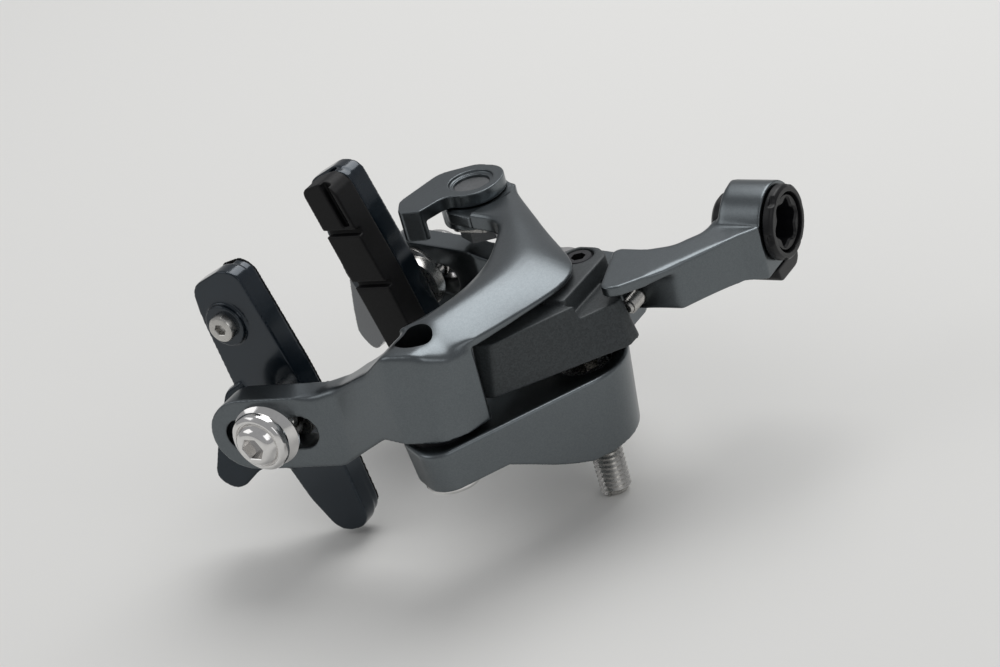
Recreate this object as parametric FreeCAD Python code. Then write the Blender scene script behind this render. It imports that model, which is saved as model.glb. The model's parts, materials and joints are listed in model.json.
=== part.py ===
"""Dual-pivot road brake caliper, lying in the frame of its centre bolt.

Millimetres. The centre bolt runs along Z and its seat face is Z = 0, with +Z
towards the front of the brake, +Y up (the brake pads are at -Y) and +X towards
the arm that carries the arch.
"""
import math
import os

import FreeCAD
import Part

V = FreeCAD.Vector
X_AXIS, Y_AXIS, Z_AXIS = V(1, 0, 0), V(0, 1, 0), V(0, 0, 1)

# Fits and gaps
RUNNING_GAP = 0.05
PRESS_GAP = 0.0
FREE_GAP = 0.35
FACE_GAP = 0.05

# Pivots and bracket
PIVOT_X, PIVOT_Y = 25.0, -16.0
PIVOT_REACH = math.hypot(PIVOT_X, PIVOT_Y)
BRACKET_UPPER_HALF, BRACKET_LOWER_HALF = 8.8, 6.5
BRACKET_END_REACH = 6.9
BRACKET_DRAFT = 1.3
BRACKET_FRONT = 15.8
BRACKET_EDGE = 0.7
BRACKET_END_BACK = 7.6
# Underside of one bracket bar: distance from the centre bolt, height
UNDERSIDE = [(6.0, 0.0), (9.6, 1.3), (13.4, 3.0), (17.0, 5.0), (22.0, BRACKET_END_BACK)]

# Centre bolt: M6 thread behind the seat, thicker shank inside the bracket
BOLT_RADIUS = 3.0
SHANK_RADIUS = 3.25
THREAD_END = 0.3
SEAT_RELIEF_RADIUS, SEAT_RELIEF_DEPTH = 4.2, 0.9
BOLT_TIP = -12.4
BOLT_HEAD_RADIUS = 4.8
BOLT_HEAD_TOP = 14.7
BOLT_HEAD_HEIGHT = 5.0
BOLT_SOCKET = 5.0
COUNTERBORE_RADIUS = 5.2

# Pivot bolts, bushes and washers
PIVOT_RADIUS = 3.5
PIVOT_TOP = 22.6
PIVOT_HEAD_RADIUS = 5.35
PIVOT_HEAD_HEIGHT = 2.9
PIVOT_SOCKET = 4.0
BUSH_RADIUS = 4.5
BUSH_TOP = 20.6
CLIP_GROOVE_RADIUS = 2.8
CLIP_LOW, CLIP_HIGH = 20.8, 21.6
CLIP_RADIUS = 3.85
WASHER_RADIUS = 6.0
WASHER_THICKNESS = 0.8
BOSS_BACK = BRACKET_FRONT + WASHER_THICKNESS + FACE_GAP
ACCESS_HOLE_RADIUS = 4.2

# Legs and tongues that carry the brake shoes
FLARE = math.radians(10.9)
TONGUE_BACK, TONGUE_FRONT = 9.0, 23.7
TONGUE_THICKNESS = 5.6
TONGUE_FACE_X, TONGUE_FACE_Y = 31.58, -48.43
TONGUE_END_Y = -60.4
SLOT_WIDTH, SLOT_LENGTH = 6.6, 18.4
SLOT_CORNER = SLOT_WIDTH / 2 - 0.01
BARREL_BOSS_TOP = BUSH_TOP

# Arch band
BAND_BACK = 31.0
BAND_INNER_TOP = 34.4
BAND_CHAMFER = 0.55
# Stations along the arch: inner X, inner Y, outer X, outer Y, crest Z, outer edge Z
BAND_STATIONS = [
    (22.0, -21.0, 25.5, -9.0, 35.4, 32.6),
    (17.0, -18.4, 17.5, -5.0, 35.6, 32.2),
    (10.0, -16.4, 9.5, -2.2, 35.6, 31.9),
    (3.0, -16.0, 2.0, 0.0, 35.5, 31.8),
    (-4.0, -17.0, -6.0, -1.0, 35.4, 31.9),
    (-10.5, -19.2, -13.5, -8.5, 35.2, 32.6),
    (-15.0, -21.2, -19.5, -15.0, 35.0, 33.2),
    (-18.0, -24.5, -26.0, -21.5, 34.6, 33.3),
    (-19.3, -30.0, -33.0, -27.5, 34.0, 33.2),
]
ANCHOR_X, ANCHOR_Y = -29.0, -34.5
ANCHOR_RADIUS = 7.0
ANCHOR_BACK, ANCHOR_FRONT = 29.0, 33.5

# Cam and roller that couple the two arms
ROLLER_Y = -9.3
ROLLER_RADIUS = 3.0
ROLLER_PIN_RADIUS = 1.5
CAM_GAP = 0.15
CAM_NOSE_RADIUS = 7.5
CAM_NOSE_Y = ROLLER_Y - ROLLER_RADIUS - CAM_GAP - CAM_NOSE_RADIUS
CAM_BACK, CAM_FRONT = 20.7, 24.3

# Roller carrier
CARRIER_BACK, CARRIER_LOW, CARRIER_HIGH = 18.5, 26.5, 29.0
CARRIER_STEP_X = 3.3
TAB_TOP = 30.0
SLOT_BACK, SLOT_FRONT = 20.2, 24.8
TAB_SCREW = (-12.6, -3.8)
TAB_SCREW_RADIUS, TAB_HEAD_RADIUS = 1.5, 2.8

# Centring screw, M3, between the cable arm and the carrier
SCREW_Y, SCREW_Z = 8.2, 23.3
SCREW_RADIUS = 1.5
SCREW_TIP_X, SCREW_TAIL_X = -5.8, -16.5

# Barrel arm extension and cable adjuster
WEB_TOP = CARRIER_LOW
EXTENSION_BACK, EXTENSION_TOP = 21.0, 30.5
FLANGE_BACK, FLANGE_X = 28.5, -9.8
ADJUSTER_X, ADJUSTER_Z = -31.0, 27.6
HOUSING_LOW, HOUSING_HIGH = 16.7, 27.8
HOUSING_ROUND_Y = 21.2
BARREL_RADIUS = 5.2
HOUSING_RADIUS = BARREL_RADIUS + 2.4
SOCKET_RADIUS = BARREL_RADIUS - 0.7
KNOB_RADIUS = BARREL_RADIUS + 1.8
KNOB_LOW, KNOB_HIGH = 28.1, 30.0
KNOB_SCALLOPS, SCALLOP_RADIUS = 6, 1.7
CABLE_RADIUS = 1.1
CABLE_STOP_Y = KNOB_LOW - 3.0
DETENT_LOW_Z, DETENT_HIGH_Y = 16.9, 28.0

# Quick-release lever and cable anchor
LEVER_BACK, LEVER_FRONT = 33.7, 36.3
LEVER_SEAT_RADIUS = 8.0
ANCHOR_BOLT_RADIUS = 2.5
ANCHOR_NECK_RADIUS = 3.5
ANCHOR_HEAD, ANCHOR_HEAD_HEIGHT = 8.0, 2.4
CLAMP_THICKNESS = 1.6

# Brake shoes
SHOE_TILT = math.radians(16.4)
SHOE_FACE_X = 22.0
SHOE_Y, SHOE_Z = -49.31, 16.37
HOLDER_PLATE = 3.2
HOLDER_WALL = 5.0
# The +X pad is worn down to its holder, the -X pad is whole
PAD_FACES = {1: HOLDER_WALL + 0.4, -1: 10.7}
PAD_GROOVES, GROOVE_DEPTH = (17.6, 6.0), 1.3
SHOE_BOLT_RADIUS = 2.95
SHOE_SOCKET = 4.0
BALL_RADIUS = 9.0
DOME_WASHER_RADIUS = 6.3
OUTER_DOME_RISE = 3.0
CUP_FLOOR, CUP_RADIUS = 0.8, 5.4
FLANGE_FLOOR, FLANGE_RADIUS = 0.6, 5.2
WHEEL_GUIDE_TILT = 22.0
PAD_SCREW_L, PAD_SCREW_H = 19.2, -4.4
PAD_SCREW_RADIUS, PAD_SCREW_HEAD = 1.5, 2.65


def outline(points):
    """Closed wire in the XY plane; each point is (x, y, corner radius)."""
    edges = []
    last = None
    first = None
    count = len(points)
    for i in range(count):
        x, y, radius = points[i]
        corner = V(x, y, 0)
        before = V(points[i - 1][0], points[i - 1][1], 0) - corner
        after = V(points[(i + 1) % count][0], points[(i + 1) % count][1], 0) - corner
        before.normalize()
        after.normalize()
        half = before.getAngle(after) / 2
        run = radius / math.tan(half)
        start = corner + before * run
        end = corner + after * run
        if last is not None:
            edges.append(Part.makeLine(last, start))
        else:
            first = start
        if radius > 0:
            middle = before + after
            middle.normalize()
            nearest = corner + middle * (radius / math.sin(half) - radius)
            edges.append(Part.Arc(start, nearest, end).toShape())
        last = end
    edges.append(Part.makeLine(last, first))
    return Part.Wire(edges)


def prism(points, low, high):
    """Rounded outline raised from Z = low to Z = high."""
    face = Part.Face(outline(points))
    face.translate(V(0, 0, low))
    return face.extrude(V(0, 0, high - low))


def side_prism(points, low, high):
    """Outline given in (Y, Z), extruded along X from low to high."""
    solid = prism(points, low, high)
    turn = FreeCAD.Rotation(V(0, 1, 0), V(0, 0, 1), V(1, 0, 0), "XYZ")
    solid.Placement = FreeCAD.Placement(V(0, 0, 0), turn)
    return solid


def rod(x, y, radius, low, high):
    """Round bar along Z."""
    return Part.makeCylinder(radius, high - low, V(x, y, low), Z_AXIS)


def rod_y(x, z, radius, low, high):
    """Round bar along Y."""
    return Part.makeCylinder(radius, high - low, V(x, low, z), Y_AXIS)


def rod_x(y, z, radius, low, high):
    """Round bar along X."""
    return Part.makeCylinder(radius, high - low, V(low, y, z), X_AXIS)


def hexagon(across_flats, low, high):
    """Hexagonal bar along Z on the origin."""
    reach = across_flats / math.sqrt(3)
    corners = []
    for i in range(6):
        angle = math.radians(60 * i)
        corners.append((reach * math.cos(angle), reach * math.sin(angle), 0))
    return prism(corners, low, high)


def moved(shape, x, y, z):
    """Copy of a shape carried by (x, y, z)."""
    copy = shape.copy()
    copy.translate(V(x, y, z))
    return copy


def fused(shapes):
    """One solid from several that overlap."""
    return shapes[0].multiFuse(shapes[1:]).removeSplitter()


def mirrored(shape):
    """The same shape on the other side of the wheel."""
    return shape.mirror(V(0, 0, 0), X_AXIS)


def edges_at_height(shape, height):
    """Edges that lie wholly at one Z."""
    found = []
    for edge in shape.Edges:
        box = edge.BoundBox
        if abs(box.ZMin - height) < 0.01 and abs(box.ZMax - height) < 0.01:
            found.append(edge)
    return found


def revolved(profile):
    """Solid of revolution about Z from (radius, Z) corners."""
    points = [V(radius, 0, z) for radius, z in profile]
    points.append(points[0])
    return Part.Face(Part.makePolygon(points)).revolve(V(0, 0, 0), Z_AXIS, 360)


# Bracket and what is bolted to it
def bracket_outline(shrink):
    """Two arms in an inverted V, each edge set in by the draft."""
    along = V(PIVOT_X, PIVOT_Y, 0) / PIVOT_REACH
    across = V(-along.y, along.x, 0)
    upper = BRACKET_UPPER_HALF - shrink
    lower = BRACKET_LOWER_HALF - shrink
    end = V(PIVOT_X, PIVOT_Y, 0) + along * (BRACKET_END_REACH - shrink)
    high = end + across * upper
    low = end - across * lower
    wire = outline([
        (0, upper / across.y, 13.0),
        (high.x, high.y, 4.4),
        (low.x, low.y, 6.0),
        (0, -lower / across.y, 4.0),
        (-low.x, low.y, 6.0),
        (-high.x, high.y, 4.4),
    ])
    wire.translate(V(0, 0, BRACKET_FRONT * (1 - shrink / BRACKET_DRAFT)))
    return wire


def bracket():
    body = Part.makeLoft([bracket_outline(BRACKET_DRAFT), bracket_outline(0)], True, True)
    body = body.makeFillet(BRACKET_EDGE, edges_at_height(body, BRACKET_FRONT))
    reach = 2 * BRACKET_UPPER_HALF
    far = PIVOT_REACH + reach
    profile = [(t, z, 0) for t, z in UNDERSIDE] + [(far, BRACKET_END_BACK, 0), (far, -1, 0)]
    profile.append((UNDERSIDE[0][0], -1, 0))
    relief = prism(profile, -reach, reach)
    turn = FreeCAD.Rotation(V(PIVOT_X, PIVOT_Y, 0), Z_AXIS, V(-PIVOT_Y, PIVOT_X, 0) * -1, "XYZ")
    relief.Placement = FreeCAD.Placement(V(0, 0, 0), turn)
    body = body.cut(relief).cut(mirrored(relief))
    body = body.cut(rod(0, 0, SHANK_RADIUS, -1, BRACKET_FRONT + 1))
    body = body.cut(rod(0, 0, SEAT_RELIEF_RADIUS, -1, SEAT_RELIEF_DEPTH))
    seat = BOLT_HEAD_TOP - BOLT_HEAD_HEIGHT
    body = body.cut(rod(0, 0, COUNTERBORE_RADIUS, seat, BRACKET_FRONT + 1))
    for side in (-1, 1):
        body = body.cut(rod(side * PIVOT_X, PIVOT_Y, PIVOT_RADIUS, 0, BRACKET_FRONT + 1))
    return body


def mounting_bolt():
    seat = BOLT_HEAD_TOP - BOLT_HEAD_HEIGHT
    bolt = revolved([
        (0, BOLT_TIP),
        (BOLT_RADIUS - 0.7, BOLT_TIP),
        (BOLT_RADIUS, BOLT_TIP + 0.7),
        (BOLT_RADIUS, THREAD_END),
        (SHANK_RADIUS, 2 * THREAD_END),
        (SHANK_RADIUS, seat),
        (BOLT_HEAD_RADIUS, seat),
        (BOLT_HEAD_RADIUS, BOLT_HEAD_TOP - 0.4),
        (BOLT_HEAD_RADIUS - 0.4, BOLT_HEAD_TOP),
        (0, BOLT_HEAD_TOP),
    ])
    return bolt.cut(hexagon(BOLT_SOCKET, BOLT_HEAD_TOP - 3.2, BOLT_HEAD_TOP + 1))


def pivot_bolt(side):
    head_back = BRACKET_END_BACK - PIVOT_HEAD_HEIGHT
    bolt = revolved([
        (0, head_back),
        (PIVOT_HEAD_RADIUS - 0.8, head_back),
        (PIVOT_HEAD_RADIUS, head_back + 0.8),
        (PIVOT_HEAD_RADIUS, BRACKET_END_BACK),
        (PIVOT_RADIUS, BRACKET_END_BACK),
        (PIVOT_RADIUS, CLIP_LOW),
        (CLIP_GROOVE_RADIUS, CLIP_LOW),
        (CLIP_GROOVE_RADIUS, CLIP_HIGH),
        (PIVOT_RADIUS, CLIP_HIGH),
        (PIVOT_RADIUS, PIVOT_TOP - 0.3),
        (PIVOT_RADIUS - 0.3, PIVOT_TOP),
        (0, PIVOT_TOP),
    ])
    bolt = bolt.cut(hexagon(PIVOT_SOCKET, head_back - 1, head_back + 2.2))
    return moved(bolt, side * PIVOT_X, PIVOT_Y, 0)


def thrust_washers():
    rings = []
    for side in (-1, 1):
        ring = rod(side * PIVOT_X, PIVOT_Y, WASHER_RADIUS, BRACKET_FRONT, BRACKET_FRONT + WASHER_THICKNESS)
        rings.append(ring.cut(rod(side * PIVOT_X, PIVOT_Y, PIVOT_RADIUS, 0, PIVOT_TOP)))
    return Part.makeCompound(rings)


def pivot_clips():
    clips = []
    for side in (-1, 1):
        x = side * PIVOT_X
        clip = rod(x, PIVOT_Y, CLIP_RADIUS, CLIP_LOW, CLIP_HIGH)
        clip = clip.cut(rod(x, PIVOT_Y, CLIP_GROOVE_RADIUS, 0, PIVOT_TOP))
        mouth = Part.makeBox(3.4, 6, 4, V(x - 1.7, PIVOT_Y - 6, CLIP_LOW - 1))
        clips.append(clip.cut(mouth))
    return Part.makeCompound(clips)


def bush(side):
    ring = rod(side * PIVOT_X, PIVOT_Y, BUSH_RADIUS, BOSS_BACK, BUSH_TOP)
    return ring.cut(rod(side * PIVOT_X, PIVOT_Y, PIVOT_RADIUS + RUNNING_GAP, 0, PIVOT_TOP))


# Legs, arch and cam of the arch arm
def tongue_x(y):
    """X of the tongue's outer face at a height."""
    return TONGUE_FACE_X - (y - TONGUE_FACE_Y) * math.tan(FLARE)


def limb(top_line, boss_reach):
    """Leg with its tongue and boss, on the +X side."""
    skew = TONGUE_THICKNESS / math.cos(FLARE)
    low_y, crease_y = TONGUE_END_Y - 1, -34.4
    plan = prism([
        (tongue_x(low_y), low_y, 0),
        (tongue_x(crease_y), crease_y, 4),
        (32.0, -19.0, 5),
        (30.9, -11.6, 3.5),
        (27.2, -8.4, 2.5),
        (22.0, -6.6, 0.8),
        (boss_reach, -9.5, 1.5),
        (boss_reach, -19.5, 3),
        (23.2, -27.0, 6),
        (tongue_x(crease_y) - skew, crease_y, 4),
        (tongue_x(low_y) - skew, low_y, 0),
    ], 0, 45)
    end_round = (TONGUE_FRONT - TONGUE_BACK) / 2 - 0.1
    side = side_prism([
        (TONGUE_END_Y, TONGUE_BACK, end_round),
        (-36.0, TONGUE_BACK, 3),
        (-24.0, BOSS_BACK, 3),
        (-2.0, BOSS_BACK, 0),
    ] + top_line + [
        (TONGUE_END_Y, TONGUE_FRONT, end_round),
    ], 0, 45)
    solid = plan.common(side)
    half = SLOT_LENGTH / 2
    slot = prism([
        (-half, -SLOT_WIDTH / 2, SLOT_CORNER),
        (half, -SLOT_WIDTH / 2, SLOT_CORNER),
        (half, SLOT_WIDTH / 2, SLOT_CORNER),
        (-half, SLOT_WIDTH / 2, SLOT_CORNER),
    ], -2 * TONGUE_THICKNESS, TONGUE_THICKNESS)
    upward = V(-math.sin(FLARE), math.cos(FLARE), 0)
    outward = V(math.cos(FLARE), math.sin(FLARE), 0)
    turn = FreeCAD.Rotation(upward, Z_AXIS, outward, "XYZ")
    slot.Placement = FreeCAD.Placement(V(TONGUE_FACE_X, TONGUE_FACE_Y, SHOE_Z), turn)
    return solid.cut(slot)


def band_section(px, py, qx, qy, crest, edge):
    """Upright slice through the arch: flat back, chamfer, domed front."""
    across = V(qx - px, qy - py, 0)
    width = across.Length
    across.normalize()
    inner = V(px, py, 0)

    def at(distance, height):
        return inner + across * distance + V(0, 0, height)

    dome = Part.BSplineCurve()
    shoulder = at(BAND_CHAMFER, BAND_INNER_TOP)
    rim = at(width, edge)
    dome.interpolate([shoulder, at(0.28 * width, crest), at(0.66 * width, (2 * crest + edge) / 3 + 0.2), rim])
    foot = at(0, BAND_BACK)
    wall = at(0, BAND_INNER_TOP - BAND_CHAMFER)
    heel = at(width, BAND_BACK)
    return Part.Wire([
        Part.makeLine(foot, wall),
        Part.makeLine(wall, shoulder),
        dome.toShape(),
        Part.makeLine(rim, heel),
        Part.makeLine(heel, foot),
    ])


def cam_lug():
    """Finger that reaches from the boss under the roller."""
    top = CAM_NOSE_Y + CAM_NOSE_RADIUS
    finger = prism([
        (22.0, -18.6, 0),
        (22.0, -10.8, 0),
        (12.0, top + 0.2, 6),
        (0.0, top, 0),
        (-1.0, CAM_NOSE_Y + 3.0, 0),
        (8.0, -17.2, 4),
    ], CAM_BACK, CAM_FRONT)
    nose = rod(0, CAM_NOSE_Y, CAM_NOSE_RADIUS, CAM_BACK, CAM_FRONT)
    keep = Part.makeBox(11, 6, 10, V(-5, -16.9, CAM_BACK - 3))
    return finger.fuse(nose.common(keep))


def arch_arm():
    top_line = [
        (-2.0, 28.0, 0),
        (-8.0, 31.6, 2),
        (-12.5, 34.6, 3),
        (-19.0, 34.6, 4),
        (-24.5, 30.0, 6),
        (-33.0, 25.4, 8),
        (-38.5, TONGUE_FRONT, 6),
    ]
    leg = limb(top_line, 19.3)
    band = Part.makeLoft([band_section(*station) for station in BAND_STATIONS], True, False)
    block = rod(ANCHOR_X, ANCHOR_Y, ANCHOR_RADIUS, ANCHOR_BACK, ANCHOR_FRONT)
    bridge = prism([
        (-33.2, -27.2, 1),
        (-19.2, -29.6, 1),
        (-21.4, -37.0, 2.5),
        (-29.0, -39.0, 2),
        (-35.6, -34.0, 2),
    ], BAND_BACK, ANCHOR_FRONT - 0.1)
    arm = fused([leg, band, bridge, block, cam_lug()])
    arm = arm.cut(rod(ANCHOR_X, ANCHOR_Y, LEVER_SEAT_RADIUS, ANCHOR_FRONT, LEVER_FRONT + 1))
    arm = arm.cut(rod(PIVOT_X, PIVOT_Y, BUSH_RADIUS + PRESS_GAP, BOSS_BACK - 12, BUSH_TOP))
    arm = arm.cut(rod(PIVOT_X, PIVOT_Y, ACCESS_HOLE_RADIUS, BUSH_TOP - 1, 40))
    return arm.cut(rod(ANCHOR_X, ANCHOR_Y, ANCHOR_BOLT_RADIUS, 20, 40))


# Barrel arm, roller carrier and small parts on them
def extension_outline(height, near_side):
    """Plan of the cable arm's extension at one height."""
    wire = outline([(-14.9, 2.7, 1.5), (0.4, 7.2, 2.0)] + near_side + [
        (ADJUSTER_X - HOUSING_RADIUS, HOUSING_HIGH, 1),
        (ADJUSTER_X - HOUSING_RADIUS, HOUSING_ROUND_Y, 3),
        (-29.5, 17.4, 5),
        (-22.0, 17.1, 4),
        (-17.2, 13.8, 4),
        (-14.9, 9.0, 4),
    ])
    wire.translate(V(0, 0, height))
    return wire


def extension():
    """Flange, curved beam and round housing of the cable adjuster."""
    near_x = ADJUSTER_X + HOUSING_RADIUS
    low_side = [(-2.0, 9.4, 1.5), (-8.6, 15.9, 5), (-21.6, 23.9, 3), (near_x - 0.3, HOUSING_HIGH, 1)]
    high_side = [(-1.2, 10.8, 1.5), (-7.0, 16.3, 6), (-20.6, 26.0, 3), (near_x, HOUSING_HIGH, 1)]
    plan = Part.makeLoft([extension_outline(10, low_side), extension_outline(40, high_side)], True, True)
    # Side view: distance along the beam, height
    back = ADJUSTER_Z - HOUSING_RADIUS
    top = ADJUSTER_Z + HOUSING_RADIUS
    rise = prism([
        (-24.0, EXTENSION_BACK, 0),
        (17.0, EXTENSION_BACK, 3),
        (21.0, back, 2),
        (36.0, back, 0),
        (36.0, top, 0),
        (23.2, top, 5),
        (18.2, EXTENSION_TOP, 6),
        (-24.0, EXTENSION_TOP, 0),
    ], -40, 40)
    run = V(-0.78, 0.62, 0)
    turn = FreeCAD.Rotation(run, Z_AXIS, run.cross(Z_AXIS), "XYZ")
    rise.Placement = FreeCAD.Placement(V(-12.0, 8.0, 0), turn)
    body = plan.common(rise)
    above = Part.makeBox(60, 60, 20, V(-50, -10, EXTENSION_TOP))
    neck = body.common(rod_y(ADJUSTER_X, ADJUSTER_Z, HOUSING_RADIUS, 0, HOUSING_HIGH))
    tube = rod_y(ADJUSTER_X, ADJUSTER_Z, HOUSING_RADIUS, HOUSING_ROUND_Y - 2, HOUSING_HIGH)
    corner = Part.makeBox(HOUSING_RADIUS + 1, 10, 30, V(ADJUSTER_X - HOUSING_RADIUS - 1, HOUSING_ROUND_Y, 14))
    under_flange = Part.makeBox(20, 30, FLANGE_BACK, V(FLANGE_X, -4, 0))
    beam = body.cut(above).cut(corner.cut(tube)).cut(under_flange)
    return fused([beam, neck, tube])


def barrel_arm():
    leg = mirrored(limb([
        (-2.0, BARREL_BOSS_TOP, 0),
        (-27.0, BARREL_BOSS_TOP, 6),
        (-36.0, TONGUE_FRONT, 6),
    ], 19.3))
    low_web = prism([
        (-31.0, -13.0, 2),
        (-28.0, -8.0, 4),
        (-20.0, 4.0, 3),
        (-16.0, 5.5, 2),
        (-9.2, 5.5, 1),
        (-9.2, -2.0, 3),
        (-13.0, -9.5, 3),
        (-19.4, -20.0, 2),
    ], BOSS_BACK, BARREL_BOSS_TOP)
    high_web = prism([
        (-20.0, -10.0, 2),
        (-21.0, -4.0, 3),
        (-19.6, 4.0, 3),
        (-16.0, 5.5, 1),
        (-9.2, 5.5, 1),
        (-9.2, -2.0, 3),
        (-13.0, -9.5, 3),
        (-15.0, -12.0, 1),
    ], BOSS_BACK, WEB_TOP)
    clip_room = rod(-PIVOT_X, PIVOT_Y, 6.4, BARREL_BOSS_TOP, 40)
    arm = fused([leg, low_web, high_web.cut(clip_room), extension()])
    arm = arm.cut(rod(-PIVOT_X, PIVOT_Y, BUSH_RADIUS + PRESS_GAP, BOSS_BACK - 12, BUSH_TOP + 1))
    arm = arm.cut(rod_y(ADJUSTER_X, ADJUSTER_Z, BARREL_RADIUS + FREE_GAP, HOUSING_LOW - 4, 40))
    arm = arm.cut(rod_x(SCREW_Y, SCREW_Z, SCREW_RADIUS, -22, 0))
    return arm.cut(rod(TAB_SCREW[0], TAB_SCREW[1], TAB_SCREW_RADIUS, BARREL_BOSS_TOP, WEB_TOP + 1))


def carrier_outline(height, near_side):
    """Plan of the carrier at one height."""
    wire = outline(near_side + [
        (-5.9, 4.8, 1),
        (-9.1, 3.2, 1),
        (-9.1, -1.5, 1),
        (-8.4, -9.0, 1.5),
        (-3.4, -12.6, 2.6),
        (3.4, -12.6, 2.6),
        (6.4, -9.6, 2),
    ])
    wire.translate(V(0, 0, height))
    return wire


def roller_carrier():
    low_side = [(18.8, -10.4, 1.2), (18.6, -7.4, 1.5), (-1.0, 10.1, 2.2), (-5.6, 10.4, 1.8)]
    high_side = [(18.0, -10.4, 1.2), (17.4, -5.8, 1.5), (-2.8, 7.6, 2.2), (-5.0, 9.0, 1.8)]
    low_outline = carrier_outline(CARRIER_BACK, low_side)
    body = Part.makeLoft([low_outline, carrier_outline(CARRIER_HIGH, high_side)], True, True)
    low_top = Part.makeBox(30, 40, 10, V(CARRIER_STEP_X - 30, -20, CARRIER_LOW))
    tab = prism([
        (3.6, 1.7, 0.8),
        (2.3, -7.4, 1.5),
        (-13.6, -8.0, 2.5),
        (-16.2, -5.4, 2),
        (-16.0, -1.2, 2),
        (-13.6, 1.7, 2.2),
    ], CARRIER_LOW, TAB_TOP)
    body = fused([body.cut(low_top), tab])
    depth = ROLLER_RADIUS + FREE_GAP
    notch = Part.makeBox(40, 20, SLOT_FRONT - SLOT_BACK, V(-depth - 1, -20 + ROLLER_Y + depth, SLOT_BACK))
    body = body.cut(notch.cut(Part.makeBox(40, 12, 20, V(depth + 1.5, -10.9, 15))))
    body = body.cut(rod(0, ROLLER_Y, ROLLER_PIN_RADIUS, 15, 30))
    head_room = rod(TAB_SCREW[0], TAB_SCREW[1], TAB_HEAD_RADIUS + 0.1, CARRIER_LOW + 1.5, TAB_TOP + 1)
    return body.cut(rod(TAB_SCREW[0], TAB_SCREW[1], TAB_SCREW_RADIUS, 20, 40)).cut(head_room)


def cam_roller():
    ring = rod(0, ROLLER_Y, ROLLER_RADIUS, SLOT_BACK + 0.2, SLOT_FRONT - 0.2)
    return ring.cut(rod(0, ROLLER_Y, ROLLER_PIN_RADIUS + RUNNING_GAP, 0, 40))


def roller_pin():
    return rod(0, ROLLER_Y, ROLLER_PIN_RADIUS, CARRIER_BACK, CARRIER_LOW)


def carrier_screw():
    neck, top = CARRIER_LOW + 1.5, TAB_TOP - 0.2
    screw = revolved([
        (0, BARREL_BOSS_TOP),
        (TAB_SCREW_RADIUS, BARREL_BOSS_TOP),
        (TAB_SCREW_RADIUS, neck),
        (TAB_HEAD_RADIUS, neck),
        (TAB_HEAD_RADIUS, top - 0.4),
        (TAB_HEAD_RADIUS - 0.4, top),
        (0, top),
    ])
    screw = screw.cut(hexagon(2.5, top - 1.3, TAB_TOP + 1))
    return moved(screw, TAB_SCREW[0], TAB_SCREW[1], 0)


def centring_screw():
    length = SCREW_TIP_X - SCREW_TAIL_X
    screw = rod(0, 0, SCREW_RADIUS, 0, length)
    screw = screw.cut(hexagon(1.5, -1, 2))
    screw.rotate(V(0, 0, 0), Y_AXIS, 90)
    return moved(screw, SCREW_TAIL_X, SCREW_Y, SCREW_Z)


# Cable adjuster
def adjuster_barrel():
    barrel = revolved([
        (CABLE_RADIUS, HOUSING_LOW),
        (BARREL_RADIUS - 0.6, HOUSING_LOW),
        (BARREL_RADIUS, HOUSING_LOW + 0.6),
        (BARREL_RADIUS, KNOB_HIGH - 0.5),
        (SOCKET_RADIUS, KNOB_HIGH - 0.5),
        (SOCKET_RADIUS - 0.4, CABLE_STOP_Y),
        (CABLE_RADIUS, CABLE_STOP_Y),
    ])
    barrel.rotate(V(0, 0, 0), X_AXIS, -90)
    return moved(barrel, ADJUSTER_X, 0, ADJUSTER_Z)


def adjuster_knob():
    inner = BARREL_RADIUS + FREE_GAP
    groove = KNOB_LOW + 0.7
    body = revolved([
        (inner, KNOB_LOW),
        (KNOB_RADIUS, KNOB_LOW),
        (KNOB_RADIUS, KNOB_HIGH - 0.5),
        (KNOB_RADIUS - 0.5, KNOB_HIGH),
        (inner, KNOB_HIGH),
    ])
    reach = KNOB_RADIUS + SCALLOP_RADIUS - 0.6
    for i in range(KNOB_SCALLOPS):
        angle = 2 * math.pi * i / KNOB_SCALLOPS
        body = body.cut(rod(reach * math.cos(angle), reach * math.sin(angle), SCALLOP_RADIUS, groove, 40))
    body.rotate(V(0, 0, 0), X_AXIS, -90)
    return moved(body, ADJUSTER_X, 0, ADJUSTER_Z)


def adjuster_detent():
    floor = ADJUSTER_Z - HOUSING_RADIUS - FACE_GAP
    side = prism([
        (ADJUSTER_X - 4.4, DETENT_LOW_Z, 2),
        (ADJUSTER_X + 3.6, DETENT_LOW_Z, 1.5),
        (ADJUSTER_X + 4.2, floor, 0),
        (ADJUSTER_X - 1.0, floor, 0),
        (ADJUSTER_X - 5.4, 23.0, 1),
    ], -DETENT_HIGH_Y, -HOUSING_ROUND_Y - FACE_GAP)
    side.rotate(V(0, 0, 0), X_AXIS, 90)
    return side.cut(rod_y(ADJUSTER_X, ADJUSTER_Z, HOUSING_RADIUS + FACE_GAP, 0, 40))


# Cable anchor and quick release
def cable_anchor_bolt():
    head_back = ANCHOR_BACK - CLAMP_THICKNESS - ANCHOR_HEAD_HEIGHT
    bolt = revolved([
        (0, head_back),
        (ANCHOR_BOLT_RADIUS, head_back),
        (ANCHOR_BOLT_RADIUS, ANCHOR_FRONT),
        (ANCHOR_NECK_RADIUS, ANCHOR_FRONT),
        (ANCHOR_NECK_RADIUS, LEVER_FRONT - 1.1),
        (0, LEVER_FRONT - 1.1),
    ])
    head = hexagon(ANCHOR_HEAD, head_back, ANCHOR_BACK - CLAMP_THICKNESS)
    return moved(bolt.fuse(head), ANCHOR_X, ANCHOR_Y, 0)


def cable_clamp_plate():
    plate = prism([
        (-4.6, -4.6, 2),
        (4.6, -4.6, 2),
        (4.6, 4.6, 2),
        (-4.6, 4.6, 2),
    ], ANCHOR_BACK - CLAMP_THICKNESS, ANCHOR_BACK)
    return moved(plate.cut(rod(0, 0, ANCHOR_BOLT_RADIUS, 0, 40)), ANCHOR_X, ANCHOR_Y, 0)


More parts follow.
